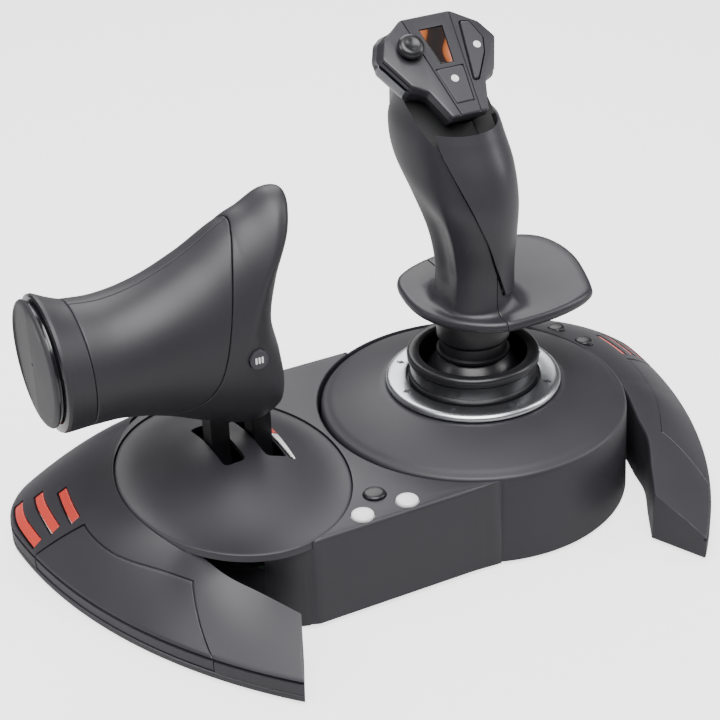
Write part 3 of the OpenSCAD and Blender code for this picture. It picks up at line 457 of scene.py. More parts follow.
# the same for the throttle's own wing, whose crest rises to meet the quadrant's lid
LEFT_CREST = [
    [0, 88.3, -86.5, 25.7, 0.1], [1, 98.2, -70, 28.9, 0.25], [2, 109, -57, 34.3, 0.4],
    [3, 119.6, -42.5, 44.2, 0.35], [4, 130.0, -20, 45.2, 0.35], [5, 130.8, 6, 45.4, 0.4],
    [6, 122, 34.5, 45.5, 0.45], [7, 109.5, 54, 45.8, 0.45], [8, 95, 66, 46, 0.4],
    [9, 40, 66, 46, 0.4], [10, -11.85, 66, 46, 0.4],
]
# q and the angle at which the right wing meets the disc
DISC_ANGLES = [[3, -26], [4, -9.5], [5, 6.5], [6, 23], [7, 42], [8, 61], [9, 86], [10, 116.1]]
CORNER_R = (REAR_Y - WING_C[1] - WING_R * sind(SIDE_ANGLE)) / (1 - sind(SIDE_ANGLE))
CORNER_C = WING_C + (WING_R - CORNER_R) * np.array([cosd(SIDE_ANGLE), sind(SIDE_ANGLE)])
WALL = 2.4
CREST_R = (0.05, 1.6)       # rounding of the left and the right wing's crest


def polar(centre, r, angle):
    return np.stack([centre[0] + r * cosd(angle), centre[1] + r * sind(angle)], -1)


def crest(side):
    return LEFT_CREST if side < 0 else CREST


def outer_edge(q, side):
    q = np.asarray(q, float)
    front = polar(WING_C, WING_R, mix(TIP_ANGLE, SIDE_ANGLE, q / 6))
    corner = polar(CORNER_C, CORNER_R, mix(SIDE_ANGLE, 90, (q - 6) / 2))
    rear = np.stack([mix(CORNER_C[0], side * SPLIT_X + SEAM / 2, (q - 8) / 2), np.full_like(q, REAR_Y)], -1)
    return np.where((q <= 6)[..., None], front, np.where((q <= 8)[..., None], corner, rear))


def inner_edge(q, side):
    q = np.asarray(q, float)
    i = spline(crest(side), q)[..., 1:3]
    if side < 0:
        return i
    d = polar((STICK_X, 0), SEAM_R, spline(DISC_ANGLES, np.maximum(q, 3))[..., 1])
    return mix(i, d, np.clip(q - 3, 0, 1)[..., None])


def across_wing(q, side):
    """The wing's width at q, and the way from its rim to its crest."""
    way = inner_edge(q, side) - outer_edge(q, side)
    width = np.linalg.norm(way, axis=-1)
    return width, way / width[..., None]


def wing_at(q, t, d, side):
    """A point of the wing's upper face: t from the rim to the crest, d below it."""
    q, t = np.broadcast_arrays(np.asarray(q, float), np.asarray(t, float))
    o, i, k = outer_edge(q, side), inner_edge(q, side), spline(crest(side), q)
    w = np.linalg.norm(i - o, axis=-1)
    rise = k[..., 3] - RIM_H
    z = RIM_H + rise * (t + k[..., 4] * t * (1 - t))
    slope = rise * (1 + k[..., 4] * (1 - 2 * t)) / w
    g = np.sqrt(1 + slope * slope)
    along = t * w + d * slope / g
    p = o + (i - o) * (along / w)[..., None]
    return np.concatenate([p, (z - d / g)[..., None]], -1)


def wing_wall(q, s, z, side):
    """A point s inwards of the rim's outer face, at height z."""
    return np.concatenate([outer_edge(q, side) + across_wing(q, side)[1] * s, np.full(q.shape + (1,), z)], -1)


# the rim's section: distance inwards and height, with two creases
RIM_PATH = [(1.0, 0.0), (0.3, 0.2), (0, 0.9), (0, 3.0), (0.35, 3.3), (0.35, 3.6), (0, 3.9),
            (0, 8.8), (1.3, 9.1), (1.3, 10.1), (0.15, 10.5)]


def turned(p, side):
    """The right wing's points, or the left wing's when side is -1."""
    return p * np.array([side, 1.0, 1.0])


def wing_rings(side):
    """Sections of a wing from the prong's tip round to the back; the right wing's crest is rounded."""
    q = np.concatenate([[0, 0, 0.006, 0.02], np.linspace(0.06, 10, 150)])
    inset = np.zeros(len(q))
    inset[:4] = 1.0, 0.35, 0.1, 0.0
    w, u = across_wing(q, side)
    cols = [wing_wall(q, s, BASE_Z + z, side) for s, z in RIM_PATH]
    r = CREST_R[side > 0]
    cols += [wing_at(q, mix(0.9 / w, 1 - (r + 0.4) / w, f), 0, side) for f in np.linspace(0, 1, 31)]
    top = wing_at(q, np.ones(len(q)), 0, side)
    for a in np.radians([35, 65, 90]):
        c = top.copy()
        c[:, :2] -= u * (r - r * math.sin(a))
        c[:, 2] -= r - r * math.cos(a)
        cols.append(c)
    low = top.copy()
    low[:, 2] = BASE_Z
    cols.append(low)
    p = np.stack(cols, 1)
    centre = p.mean(1, keepdims=True)
    span = np.linalg.norm(p - centre, axis=2, keepdims=True)
    return centre + (p - centre) * (1 - inset[:, None, None] / np.maximum(span, 1))


def wing_core(side):
    """The hollow inside a wing, open below."""
    q = np.linspace(0.14, 9.93, 60)
    w, u = across_wing(q, side)
    cols = [wing_wall(q, WALL, BASE_Z - 1, side)]
    cols += [wing_at(q, mix(0.06, 1 - 1.4 * WALL / w, f), WALL, side) for f in np.linspace(0, 1, 8)]
    cols.append(np.concatenate([inner_edge(q, side) - u * WALL, np.full((len(q), 1), BASE_Z - 1)], 1))
    return np.stack(cols, 1)


# q of the plate's front and rear edges at the rim and at the crest, and how far up it reaches
PLATE_FRONT, PLATE_REAR, PLATE_REACH = (1.42, 2.42), (5.3, 4.93), (0.69, 0.51)
PLATE_T, PLATE_WAIST, PLATE_FROM = 1.2, 0.28, 6
# q of both ends and share of the wing's width, for each vent
VENTS = [(5.45, 6.55, 0.08), (5.35, 6.38, 0.27), (5.18, 6.05, 0.47)]
VENT_W = 4.0
PLATE_GAP, VENT_GAP = 0.6, 0.45
Q_PER_MM = 1 / 28


def plate_grid(side, d, grow, n):
    """The wing plate's outer face, d below the wing's own and grown by grow all round."""
    v = edged(n, 0.01)
    more = grow * Q_PER_MM
    q = mix(PLATE_FRONT[0] - more, PLATE_REAR[0] + more, v)
    rows = [wing_wall(q, s + d, BASE_Z + z - (grow if k == 0 else 0), side)
            for k, (s, z) in enumerate(RIM_PATH[PLATE_FROM:])]
    reach = mix(PLATE_REACH[0], PLATE_REACH[1], v) - PLATE_WAIST * v * (1 - v) + grow / 30
    for s in np.concatenate([[0.03, 0.06], edged(22, 0.1)[FINE:]]):
        q = mix(mix(*PLATE_FRONT, s) - more, mix(*PLATE_REAR, s) + more, v)
        rows.append(wing_at(q, s * reach, d, side))
    return np.stack(rows, 0)


def vent_grid(side, vent, d, grow):
    q = mix(vent[0] - grow * Q_PER_MM, vent[1] + grow * Q_PER_MM, edged(24, 0.04))
    half = (VENT_W / 2 + grow) / across_wing(q, side)[0]
    return np.stack([wing_at(q, vent[2] + half * e, d, side) for e in 2 * edged(7, 0.12) - 1], 0)


def wing_tools(side):
    """Solids that cut the plate's recess and the three vents out of a wing."""
    pairs = [[plate_grid(side, d, PLATE_GAP, 60) for d in (-1, PLATE_T + 0.1)]]
    pairs += [[vent_grid(side, v, d, VENT_GAP) for d in (-1, WALL + 0.6)] for v in VENTS]
    return [turned_solid(between(top, under, True), side) for top, under in pairs]


def turned_solid(solid, side):
    verts, faces = solid
    if side < 0:
        return turned(verts, side), [list(f)[::-1] for f in faces]
    return verts, faces


def wing_piece(name, side):
    return shaped(name, turned_solid(ring_loft(wing_rings(side)), side), "shell")


def orient(obj):
    """Turns every face outwards."""
    bm = bmesh.new()
    bm.from_mesh(obj.data)
    bmesh.ops.recalc_face_normals(bm, faces=bm.faces)
    bm.to_mesh(obj.data)
    bm.free()
    obj.data.update()
    return obj


def tool(solid):
    """A cutting solid with its faces outwards; it is staged, and carve removes it."""
    obj = finish_mesh("cutter", *solid, [])
    return orient(obj)


def carve_each(obj, solids):
    for s in solids:
        carve(obj, [tool(s)])


# ---- base

HUMP_C, HUMP_RX, HUMP_RY = np.array([-81.5, -3.0]), 50.0, 66.0
LID_LOW, LID_RIM, HUMP_H = 42.0, 45.5, 15.0
DECK_BUTTON_SPOTS = [middle(n)[:2] for n in ("select_button", "mode_button", "start_button")]
BUTTON_R, WING_HOLE_R = 5.0, 4.6
# the deck's left edge, under the left wing's crest
DECK_SIDE = [
    [0, -72, -69], [1, -88, -62], [2, -100, -48], [3, -112, -37], [4, -125.5, -12],
    [5, -130.5, 12], [6, -123, 36], [7, -110.5, 55], [8, -94.5, 67.6],
]


def deck_loop(inset=0.0):
    """The deck's outline and how much of the edge rounding each point takes."""
    side = spline(DECK_SIDE, np.linspace(0, 8, 121))[:, 1:]
    side[:, 0] += inset
    side[:, 1] = np.clip(side[:, 1], FRONT_Y + inset, BACK_Y - inset)
    gap_r = SEAM_R + inset
    a0 = max(math.acos((SPLIT_X - SEAM - STICK_X) / gap_r), math.pi - math.asin((BACK_Y - inset) / gap_r))
    a1 = math.pi + math.asin((-FRONT_Y - inset) / gap_r)
    arc = polar((STICK_X, 0), gap_r, np.degrees(np.linspace(a0, a1, 90)))
    back = np.column_stack([np.linspace(side[-1, 0], max(arc[0, 0], SPLIT_X - SEAM - inset), 24)[1:],
                            np.full(23, BACK_Y - inset)])
    if inset:
        back = back[:-1]
    front = np.column_stack([np.linspace(arc[-1, 0], side[0, 0], 30)[1:-1], np.full(28, FRONT_Y + inset)])
    loop = np.concatenate([side, back, arc, front])
    share = np.concatenate([np.full(len(side), 0.4), np.zeros(len(back)), np.full(90, 0.4), np.ones(28)])
    share[:4] = 1
    share[len(side) - 6:len(side)] = 0
    # the edge stays crisp where the outline comes to a thin point beside the disc
    share *= smooth(np.linalg.norm(loop - arc[-1], axis=1) / 18)
    return loop, share


def inset2d(loop, d):
    """A closed clockwise outline moved inwards by d (a number or one a point), mitred."""
    prev, nxt = np.roll(loop, 1, 0), np.roll(loop, -1, 0)
    def unit(v):
        return v / np.maximum(np.linalg.norm(v, axis=1, keepdims=True), 1e-9)
    ea, eb = unit(loop - prev), unit(nxt - loop)
    na = np.column_stack([ea[:, 1], -ea[:, 0]])
    nb = np.column_stack([eb[:, 1], -eb[:, 0]])
    n = unit(na + nb)
    cos = np.maximum((n * na).sum(1), 0.4)
    return loop + n * (np.broadcast_to(d, len(loop)) / cos)[:, None]


def oval(centre, rx, ry, n):
    a = np.linspace(0, 2 * math.pi, n, endpoint=False)
    return np.column_stack([centre[0] + rx * np.cos(a), centre[1] + ry * np.sin(a)])


def box_outline(centre, half_x, half_y):
    corners = np.array([(-half_x, -half_y), (half_x, -half_y), (half_x, half_y), (-half_x, half_y)])
    return corners + centre


def disc_outline(centre, r, n=64):
    return oval(centre, r, r, n)


def lid_cutter(less_x, less_y, low):
    """A tall solid over the lid's oval, smaller than it by the two amounts."""
    return tool(prism(oval(HUMP_C, HUMP_RX - less_x, HUMP_RY - less_y, 160), low, 70))


def build_deck():
    loop, share = deck_loop()
    r = 2.0
    rings = [(share, BASE_Z + 0 * share), (0 * share, BASE_Z + 0.7 + 0 * share)]
    for a in np.radians([0, 18, 36, 54, 72, 90]):
        rings.append((share * r * (1 - math.cos(a)), DECK_H - share * r * (1 - math.sin(a))))
    p = np.stack([np.column_stack([inset2d(loop, s), z]) for s, z in rings])
    deck = shaped("throttle_deck", ring_loft(p), "shell")
    core = deck_loop(WALL)[0]
    inner = ring_loft(np.stack([np.column_stack([core, np.full(len(core), z)])
                                for z in (BASE_Z - 1, DECK_H - WALL)]))
    carve(deck, [tool(inner), lid_cutter(-SEAM, -SEAM, LID_LOW), lid_cutter(7, 9, 30)])
    carve(deck, [tool(prism(disc_outline(c, BUTTON_R + PLAY), 30, 60)) for c in DECK_BUTTON_SPOTS])
    wing = wing_piece("left_wing", -1)
    carve(wing, [tool(turned_solid(ring_loft(wing_core(-1)), -1)), lid_cutter(-SEAM, -SEAM, LID_LOW - 0.1)])
    carve_each(wing, wing_tools(-1))
    for obj in (deck, wing):
        soften(obj)
        install(obj, "base", "throttle_base_cover")


def build_right_wing():
    wing = wing_piece("right_wing", 1)
    carve(wing, [tool(ring_loft(wing_core(1)))])
    carve_each(wing, wing_tools(1))
    carve_each(wing, [prism(disc_outline(middle(node), WING_HOLE_R), 30, 60)
                      for node in ("wing_button_front", "wing_button_rear")])
    soften(wing)
    install(wing, "base", "right_wing_cover")


def build_plates():
    for side, word in ((-1, "left"), (1, "right")):
        solid = turned_solid(closed_plate(plate_grid(side, 0.06, 0, 110), PLATE_T, r=0.5, flip=True), side)
        piece(word + "_plate", solid, "shell", "base", word + "_wing_plate")
        grids = [vent_grid(side, v, 0.35, -0.1) for v in VENTS]
        parts = [turned_solid(closed_plate(g, 1.8, r=0.7, flip=True), side) for g in grids]
        piece(word + "_vents", joined(parts), "red", "base", word + "_vent_inserts")


def dome_z(r):
    """Height of the stick module's low dome at radius r."""
    t = (DISC_R - 0.6 - r) / (DISC_R - 0.6 - RING_R)
    return DECK_H + (DISC_TOP - DECK_H) * (t + 0.25 * t * (1 - t))


def build_disc():
    edge = 2.2
    outer = [(DISC_R + 0.8, BASE_Z), (DISC_R + 1.35, BASE_Z + 0.7), (DISC_R + 0.1, DECK_H - 2.6)]
    for a in (0, 22, 45, 68, 90):
        outer.append((DISC_R - edge + edge * cosd(a), DECK_H - edge + (edge + 0.3) * sind(a)))
    outer += [(r, dome_z(r)) for r in np.linspace(DISC_R - 4, RING_R + 1.2, 14)]
    outer += [(RING_R + 0.5, dome_z(RING_R) - 0.5), (RING_R - 3, dome_z(RING_R) - 0.5), (28, DISC_TOP - 0.4)]
    inner = [(28, DISC_TOP - WALL), (RING_R, DISC_TOP - WALL)]
    inner += [(DISC_R - WALL, DECK_H - WALL), (DISC_R - WALL + 1.2, BASE_Z)]
    section = lathe(outer + inner, (STICK_X, 0), 240)
    piece("stick_disc", section, "shell", "base", "stick_base_cover")


def build_ring():
    c = (STICK_X, 0)
    top = node_box("trim_ring")[1][2]
    low = DISC_TOP + 0.02
    face = [(RING_R - 1.2, low), (RING_R, low + 0.4)]
    face += [(RING_R - s, top - d) for s, d in ((0, 1.5), (0.5, 0.7), (1.5, 0.15), (2.6, 0))]
    face += [(COLLAR_R + s, top - d) for s, d in ((1.2, 0), (0.6, 0.3), (0.4, 1))] + [(COLLAR_R + 0.4, low)]
    band = lathe(face, c, 200)
    marks = []
    mid = (RING_R + COLLAR_R) / 2 - 0.6
    # arrows that point outwards and inwards by turns
    for k in range(8):
        a = math.radians(45 * k)
        shape = np.array([(-1.9, -0.8), (-0.4, -0.8), (-0.4, -1.9), (2.1, 0),
                          (-0.4, 1.9), (-0.4, 0.8), (-1.9, 0.8)])
        shape[:, 0] *= 1 if k % 2 == 0 else -1
        x = c[0] + (mid + shape[:, 0]) * math.cos(a) - shape[:, 1] * math.sin(a)
        y = c[1] + (mid + shape[:, 0]) * math.sin(a) + shape[:, 1] * math.cos(a)
        marks.append(prism(np.column_stack([x, y]), top - 0.4, top + 0.06))
    idx = [0] * len(band[1]) + [1] * sum(len(m[1]) for m in marks)
    piece("silver_ring", joined([band] + marks), "silver mark", "base", "trim_ring", idx)


def build_collar():
    z0, z1 = [v[2] for v in node_box("stick_collar")]
    bore = 28.0
    prof = [(bore, z0), (COLLAR_R - 0.8, z0), (COLLAR_R - 0.8, z0 + 4.5), (COLLAR_R - 1.6, z0 + 5),
            (COLLAR_R - 1.6, z1 - 5.2), (COLLAR_R - 0.6, z1 - 4.6)]
    for a in (-60, -30, 0, 30, 60, 90):
        prof.append((COLLAR_R - 1.8 + 1.8 * cosd(a), z1 - (3.0 if a < 0 else 1.8) + 1.8 * sind(a)))
    prof += [(26.5, z1 - 0.1), (25.3, z1 - 0.9), (25.1, z1 - 2.4), (bore, z1 - 4)]
    piece("collar", lathe(prof, (STICK_X, 0), 160), "black", "base", "stick_collar")


def lid_z(s):
    """The lid's height at the share s of its oval: a smooth hill."""
    return LID_RIM + HUMP_H * (0.5 + 0.5 * np.cos(math.pi * s ** 1.15))


def lid_rings(s, z, a):
    x, y = [c + s[:, None] * r * f(a) for c, r, f in zip(HUMP_C, (HUMP_RX, HUMP_RY), (np.cos, np.sin))]
    return np.stack([x, y, np.repeat(z[:, None], len(a), 1)], 2)


def build_lid():
    s = np.concatenate([[1.0, 1.0, 0.996, 0.988, 0.975], np.linspace(0.95, 0.02, 44)])
    drop = np.zeros(len(s))
    drop[:4] = LID_RIM - LID_LOW - 0.1, 1.2, 0.35, 0.05
    a = np.linspace(0, 2 * math.pi, 200, endpoint=False)[::-1]
    s2 = np.array([0.02, 0.3, 0.55, 0.75, 0.88, 0.955, 0.955])
    z2 = lid_z(s2) - WALL
    z2[-1] = LID_LOW + 0.1
    verts, faces = joined([(lid_rings(s, lid_z(s) - drop, a), grid_faces(len(s), len(a), wrap_j=True)),
                           (lid_rings(s2, z2, a), grid_faces(len(s2), len(a), wrap_j=True))])
    n, m = len(a), len(s) * len(a)
    last = m + (len(s2) - 1) * n
    faces += [[k, (k + 1) % n, last + (k + 1) % n, last + k][::-1] for k in range(n)]
    faces += [list(range(m - n, m)), list(range(m, m + n))[::-1]]
    lid = shaped("quadrant_lid", (verts, faces), "shell")
    for e in (-1, 1):
        slot = rounded(box_outline((LEVER_X + e * SLOT_OFFSET, AXLE_Y), *SLOT_HALF), SLOT_R)
        carve(lid, [tool(prism(slot, 20, 80))])
    carve(lid, [tool(closed_plate(scale_grid(0.25, 4), 5, edges=""))])
    soften(lid)
    install(lid, "base", "quadrant_cover")


# the two slots that the lever's legs pass through
SLOT_HALF, SLOT_R, SLOT_OFFSET = (5.2, 20.5), 3.0, 10.0
# share of the length, x, y, half width
SCALE = [[0, -57, -18, 0.5], [1, -56, 14, 2.2]]


def scale_grid(grow, up, v0=0.0, v1=1.0):
    """The white wedge beside the lever, laid on the lid and raised by up."""
    v = np.linspace(v0, v1, 24)
    k = spline(SCALE, v)
    e = np.linspace(-1, 1, 9)
    x = k[:, 1][None] + e[:, None] * (k[:, 3] + grow)[None]
    y = np.repeat((k[:, 2] + grow * (2 * v - 1))[None], 9, 0)
    s = np.hypot((x - HUMP_C[0]) / HUMP_RX, (y - HUMP_C[1]) / HUMP_RY)
    return np.stack([x, y, lid_z(s) + up], 2)


def build_scale():
    parts = [closed_plate(scale_grid(0, 0.15, 0.0, 0.74), 0.8, r=0.2),
             closed_plate(scale_grid(0.25, 0.25, 0.76, 1.0), 0.9, r=0.3)]
    idx = [0] * len(parts[0][1]) + [1] * len(parts[1][1])
    piece("lever_scale", joined(parts), "white red", "base", "throttle_scale", idx)


FLANGE = 0.8      # how far a push button's flange stands out under the cover


def button_profile(r, top, low, crown=0.4, edge=0.9, stem=1.6):
    """A push button's section: crowned cap, flange and stem."""
    prof = [(TINY, low), (stem, low), (stem, low + 2.4), (r + FLANGE, low + 2.4), (r + FLANGE, low + 3.4),
            (r, low + 3.5), (r, top - edge - crown)]
    prof += [(r - edge * (1 - cosd(a)), top - edge - crown + edge * sind(a)) for a in (25, 50, 75)]
    return prof + [(r * f, top - crown * f * f) for f in (0.78, 0.6, 0.4, 0.2, 0.004)]


def build_push_buttons():
    looks = {"select_button": "white", "mode_button": "black", "start_button": "white",
             "wing_button_front": "black", "wing_button_rear": "black"}
    for node, look in looks.items():
        low, high = node_box(node)
        prof = button_profile(width_x(node) / 2 - FLANGE, high[2], low[2] + 0.01)
        key = lathe(prof, middle(node), 72)
        piece(node.replace("button", "key"), key, look, node + "_body", node)


build_deck()
build_right_wing()
build_plates()
build_disc()
build_ring()
build_collar()
build_lid()
build_scale()
build_push_buttons()

# ---- stick: boot, neck, grip

NECK_TOP = node_box("neck_sleeve")[1][2]
NECK_R = width_x("neck_sleeve") / 2
NECK_IN, NECK_STEP, BOOT_R = 15.5, 80.0, 24.0
BOOT_TOP = PIVOT_Z + math.sqrt(BOOT_R ** 2 - NECK_IN ** 2)


def build_boot():
    """A ball-shaped shell from just above the pivot up to the neck."""
    def arc(r):
        a = np.linspace(math.asin(4.2 / r), math.acos((NECK_IN + 0.1) / r), 22)
        return [(r * math.cos(t), PIVOT_Z + r * math.sin(t)) for t in a]
    section = arc(BOOT_R) + arc(BOOT_R - 2)[::-1]
    piece("ball_boot", lathe(section, (STICK_X, 0), 128), "black", "stick", "gimbal_boot")


def build_neck():
    shaft = 6.05
    prof = [(shaft, NECK_TOP - 3), (13.5, NECK_TOP - 3), (13.5, BOOT_TOP - 3)]
    prof += [(NECK_IN + s, BOOT_TOP + d) for s, d in ((0, -3), (0, 0.6), (1.4, 1.2), (1.5, 2.6), (0.4, 3.3))]
    prof += [(NECK_IN + 0.1, NECK_STEP - 1.5)]
    prof += [(NECK_R - s, NECK_STEP + d) for s, d in ((0.7, -0.5), (0.1, 0.1), (0, 0.8))]
    prof += [(NECK_R - s, NECK_TOP - d) for s, d in ((0, 1), (0.3, 0.3), (1, 0))] + [(shaft, NECK_TOP)]
    piece("neck", lathe(prof, (STICK_X, 0), 128), "black", "stick", "neck_sleeve")


# height, middle x and y, half width, half depth
GRIP = [
    [97, 45, 0, 19, 22], [100, 44.7, 0, 17.4, 20.4], [108, 44.5, 0, 16.5, 19.5], [120, 44.2, 0, 16.6, 20],
    [135, 43, 0, 18.5, 22.5], [150, 41.7, 3.5, 21.5, 27], [165, 41.5, 14, 23.2, 34],
    [180, 39.8, 18, 22.2, 31.5], [192, 39, 17.5, 19.8, 26.5], [205, 39, 17, 20, 23.5], [222, 39, 17, 20, 23],
]
# the hand rest's outline, and its underside and upper face
REST_LOW = node_box("left_grip_shell")[0][2]
REST_TOP = REST_LOW + 5
REST = [[26, 38], [19.5, 22], [18.5, 2], [26, -15], [42, -28], [62, -30], [80, -27.5], [94, -22],
        [100, -14], [109, 12], [110, 30], [105, 43], [92, 50], [68, 50], [44, 47]]
GRIP_SPLIT = 46.0
GRIP_WALL = 2.6
# angle, half angle and depth of the finger hollow; then height and both angles of the palm panel
CHANNEL_A, CHANNEL_HALF, CHANNEL_DEPTH = -178.0, 30.0, 3.6
PALM_EDGES = [[107, -72, -40], [125, -92, -18], [150, -112, 2], [172, -128, 8], [184, -133, 8]]
HEAD_AT = Vector((39, -4.6, 196))
HEAD_TILT, HEAD_T = 38.0, 14.0
HEAD = Matrix.Translation(HEAD_AT) @ Matrix.Rotation(math.radians(HEAD_TILT), 4, "X")
TRIGGER_X, TRIGGER_Y, _ = joint_at("trigger_pull")


def angle_gap(a, b):
    return (a - b + 180) % 360 - 180


def grip_at(z, a, d=0.0):
    """A point of the grip's surface at height z and angle a, d below it."""
    z, a = np.broadcast_arrays(np.asarray(z, float), np.asarray(a, float))
    k = spline(GRIP, z)
    # the hollow that the fingers wrap into, down the grip's outer side
    across = np.clip(1 - (angle_gap(a, CHANNEL_A) / CHANNEL_HALF) ** 2, 0, 1) ** 1.5
    down = smooth((z - 101) / 16) * smooth((163 - z) / 26)
    d = d + CHANNEL_DEPTH * across * down
    return np.stack([k[..., 1] + (k[..., 3] - d) * cosd(a), k[..., 2] + (k[..., 4] - d) * sind(a), z], -1)


def star_radius(loop, centre, angles):
    """Distance from centre to a closed outline at each angle."""
    rel = loop - centre
    a = np.unwrap(np.arctan2(rel[:, 1], rel[:, 0]))
    r = np.linalg.norm(rel, axis=1)
    if a[-1] < a[0]:
        a, r = a[::-1], r[::-1]
    base = a[0]
    w = (np.radians(angles) - base) % (2 * math.pi) + base
    return np.interp(w, np.append(a, a[0] + 2 * math.pi), np.append(r, r[0]))


def to_head(points):
    """Points of the head's own frame in the part's frame."""
    m = np.array(HEAD)
    p = np.asarray(points, float)
    return p @ m[:3, :3].T + m[:3, 3]


def slab(outline, n0, n1, edge=0.0):
    v, f = prism(outline, n0, n1, edge)
    return to_head(v), f


def build_grip():
    n = 360
    a = np.arange(n) * 360.0 / n
    centre = np.array([44.7, 0.0])
    loop = ring_spline(REST, 600)
    rest = star_radius(loop, centre, a)
    unit = np.column_stack([cosd(a), sind(a)])
    def ring(r, z):
        return np.column_stack([centre + unit * r[:, None], np.broadcast_to(z, n)])
    # distance of the grip's root from the centre, at each angle
    def root(z):
        p = grip_at(z, a)[:, :2] - centre
        return np.linalg.norm(p, axis=1)
    hole = np.full(n, 10.0)
    rings = [ring(hole, REST_LOW), ring(rest - 8, REST_LOW)]
    under_r, over_r, root_z = 2.0, 2.4, 108
    for t in (0, 30, 60, 90):
        rings.append(ring(rest - under_r * (1 - sind(t)), REST_LOW + under_r * (1 - cosd(t))))
    for t in (0, 30, 60, 90):
        rings.append(ring(rest - over_r * (1 - cosd(t)), REST_TOP - over_r * (1 - sind(t))))
    fillet = np.minimum(9.0, 0.45 * (rest - root(root_z)))
    foot = root(root_z) + fillet
    edge = rest - over_r
    for t in np.linspace(0.1, 0.98, 16):
        dish = -0.5 * math.sin(math.pi * t) * np.clip((rest - 30) / 30, 0, 1)
        rings.append(ring(mix(edge, foot, t), REST_TOP + dish))
    for t in range(12, 90, 12):
        rings.append(ring(root(root_z) + fillet * (1 - sind(t)), REST_TOP + fillet * (1 - cosd(t))))
    for z in np.concatenate([np.linspace(109, 188, 60), np.linspace(189, 221, 16)]):
        rings.append(grip_at(z, a))
    body = shaped("grip_body", ring_loft(np.stack(rings)), "grip")
    b = np.arange(0, 360, 7.5)
    heights = (97, 104, 112, 125, 140, 150, 158, 165, 172, 180, 190, 205, 223)
    hollow = np.stack([grip_at(z, b, GRIP_WALL) for z in heights])
    core = tool(ring_loft(hollow))
    square = [(-90, -90), (90, -90), (90, 90), (-90, 90)]
    carve(core, [tool(slab(square, -HEAD_T - 2.8, 60))])
    carve(body, [core])
    carve(body, [tool(slab(square, -HEAD_T - 0.1, 60))])
    # the cut faces under the head are painted near-black, a painted shade for the shadowed gap between head
    # and grip
    body.data.materials.append(M["painted_gap_shade"])
    to_face = HEAD.inverted()
    for poly in body.data.polygons:
        if (to_face @ (poly.center / MM)).z > -HEAD_T - 0.2:
            poly.material_index = 1
    near, far = 36, TRIGGER_Y + 40
    slot = box_outline((TRIGGER_X, (near + far) / 2), 9, (far - near) / 2)
    carve(body, [tool(prism(slot, 169, 230))])
    carve(body, [tool(between(palm_grid(0.75, 40, -3.0), palm_grid(0.75, 40, 1.7)))])
    for name, node, sign in (("grip_left", "left_grip_shell", 1), ("grip_right", "right_grip_shell", -1)):
        half = bpy.data.objects.new(name, body.data.copy())
        bpy.context.scene.collection.objects.link(half)
        seam_split(half, (GRIP_SPLIT, 0, 0), (sign, 0, 0), 0.5)
        install(half, "grip", node)
    bpy.data.objects.remove(body, do_unlink=True)


SPLIT_GAP = 0.08


def seam_split(obj, point, away, r):
    """Keeps the part behind a plane, closes the cut and rounds its rim by r."""
    bm = bmesh.new()
    bm.from_mesh(obj.data)
    p, n = Vector(point) * MM, Vector(away).normalized()
    for step in (r, r * 0.5, r * 0.2):
        geom = bm.verts[:] + bm.edges[:] + bm.faces[:]
        bmesh.ops.bisect_plane(bm, geom=geom, dist=1e-7, plane_co=p - n * step * MM, plane_no=n)
    geom = bm.verts[:] + bm.edges[:] + bm.faces[:]
    cut = bmesh.ops.bisect_plane(bm, geom=geom, dist=1e-7, plane_co=p - n * SPLIT_GAP * MM, plane_no=n,
                                 clear_outer=True)
    bm.normal_update()
    moves = []
    for v in bm.verts:
        d = (p - v.co).dot(n) / MM - SPLIT_GAP
        flat = v.normal - n * v.normal.dot(n)
        if d < r and flat.length > 0.3:
            moves.append((v, flat.normalized() * float(lip(np.array(d), r)) * MM))
    for v, m in moves:
        v.co -= m
    edges = [e for e in cut["geom_cut"] if isinstance(e, bmesh.types.BMEdge)]
    bmesh.ops.holes_fill(bm, edges=edges, sides=0)
    bmesh.ops.triangulate(bm, faces=[f for f in bm.faces if len(f.verts) > 4])
    bmesh.ops.recalc_face_normals(bm, faces=bm.faces)
    bm.to_mesh(obj.data)
    bm.free()
    soften(obj, 34)


def palm_grid(grow, n, d=0.0):
    z = np.concatenate([[107 - grow, 107.3 - grow], np.linspace(108, 183, n), [183.7 + grow, 184 + grow]])
    k = spline(PALM_EDGES, np.clip(z, 107, 184))
    v = edged(n, 0.03)
    a = mix(k[:, 1] - 3 * grow, k[:, 2] + 3 * grow, v[:, None]).T
    zz = np.repeat(z[:, None], len(v), 1)
    return grip_at(zz, a, d)


def build_palm():
    panel = closed_plate(palm_grid(0, 70, -0.1), 1.5, r=0.9)
    piece("palm_cover", panel, "panel", "grip", "palm_panel")


# ---- head

# outlines on the head's face, in its own frame
CENTRE = np.array([[-4.2, 1], [4.2, 1], [6.7, 19], [-6.7, 19]], float)
RIGHT = np.array([[8.6, 10.6], [10.6, 10.6], [18.8, 22.5], [21.4, 30], [18.6, 39.0], [14.6, 39.8]], float)
HEAD_HALF = np.array([[9, -5], [14.2, 9.5], [20.5, 13.8], [28, 29.5], [23.5, 38.5], [12.3, 46.8]], float)
WINDOW = np.array([[-3, 21.6], [3, 21.6], [5.6, 39.6], [-5.6, 39.6]], float)
HAT = np.array([-14.5, 31.0])
HAT_DEPTH, FACE_T = 8.0, 2.4


def spread(outline, d):
    """A clockwise or anticlockwise outline grown by d."""
    area = np.sum(outline[:, 0] * np.roll(outline[:, 1], -1) - outline[:, 1] * np.roll(outline[:, 0], -1))
    loop = outline if area < 0 else outline[::-1]
    grown = inset2d(loop, -d)
    return grown if area < 0 else grown[::-1]


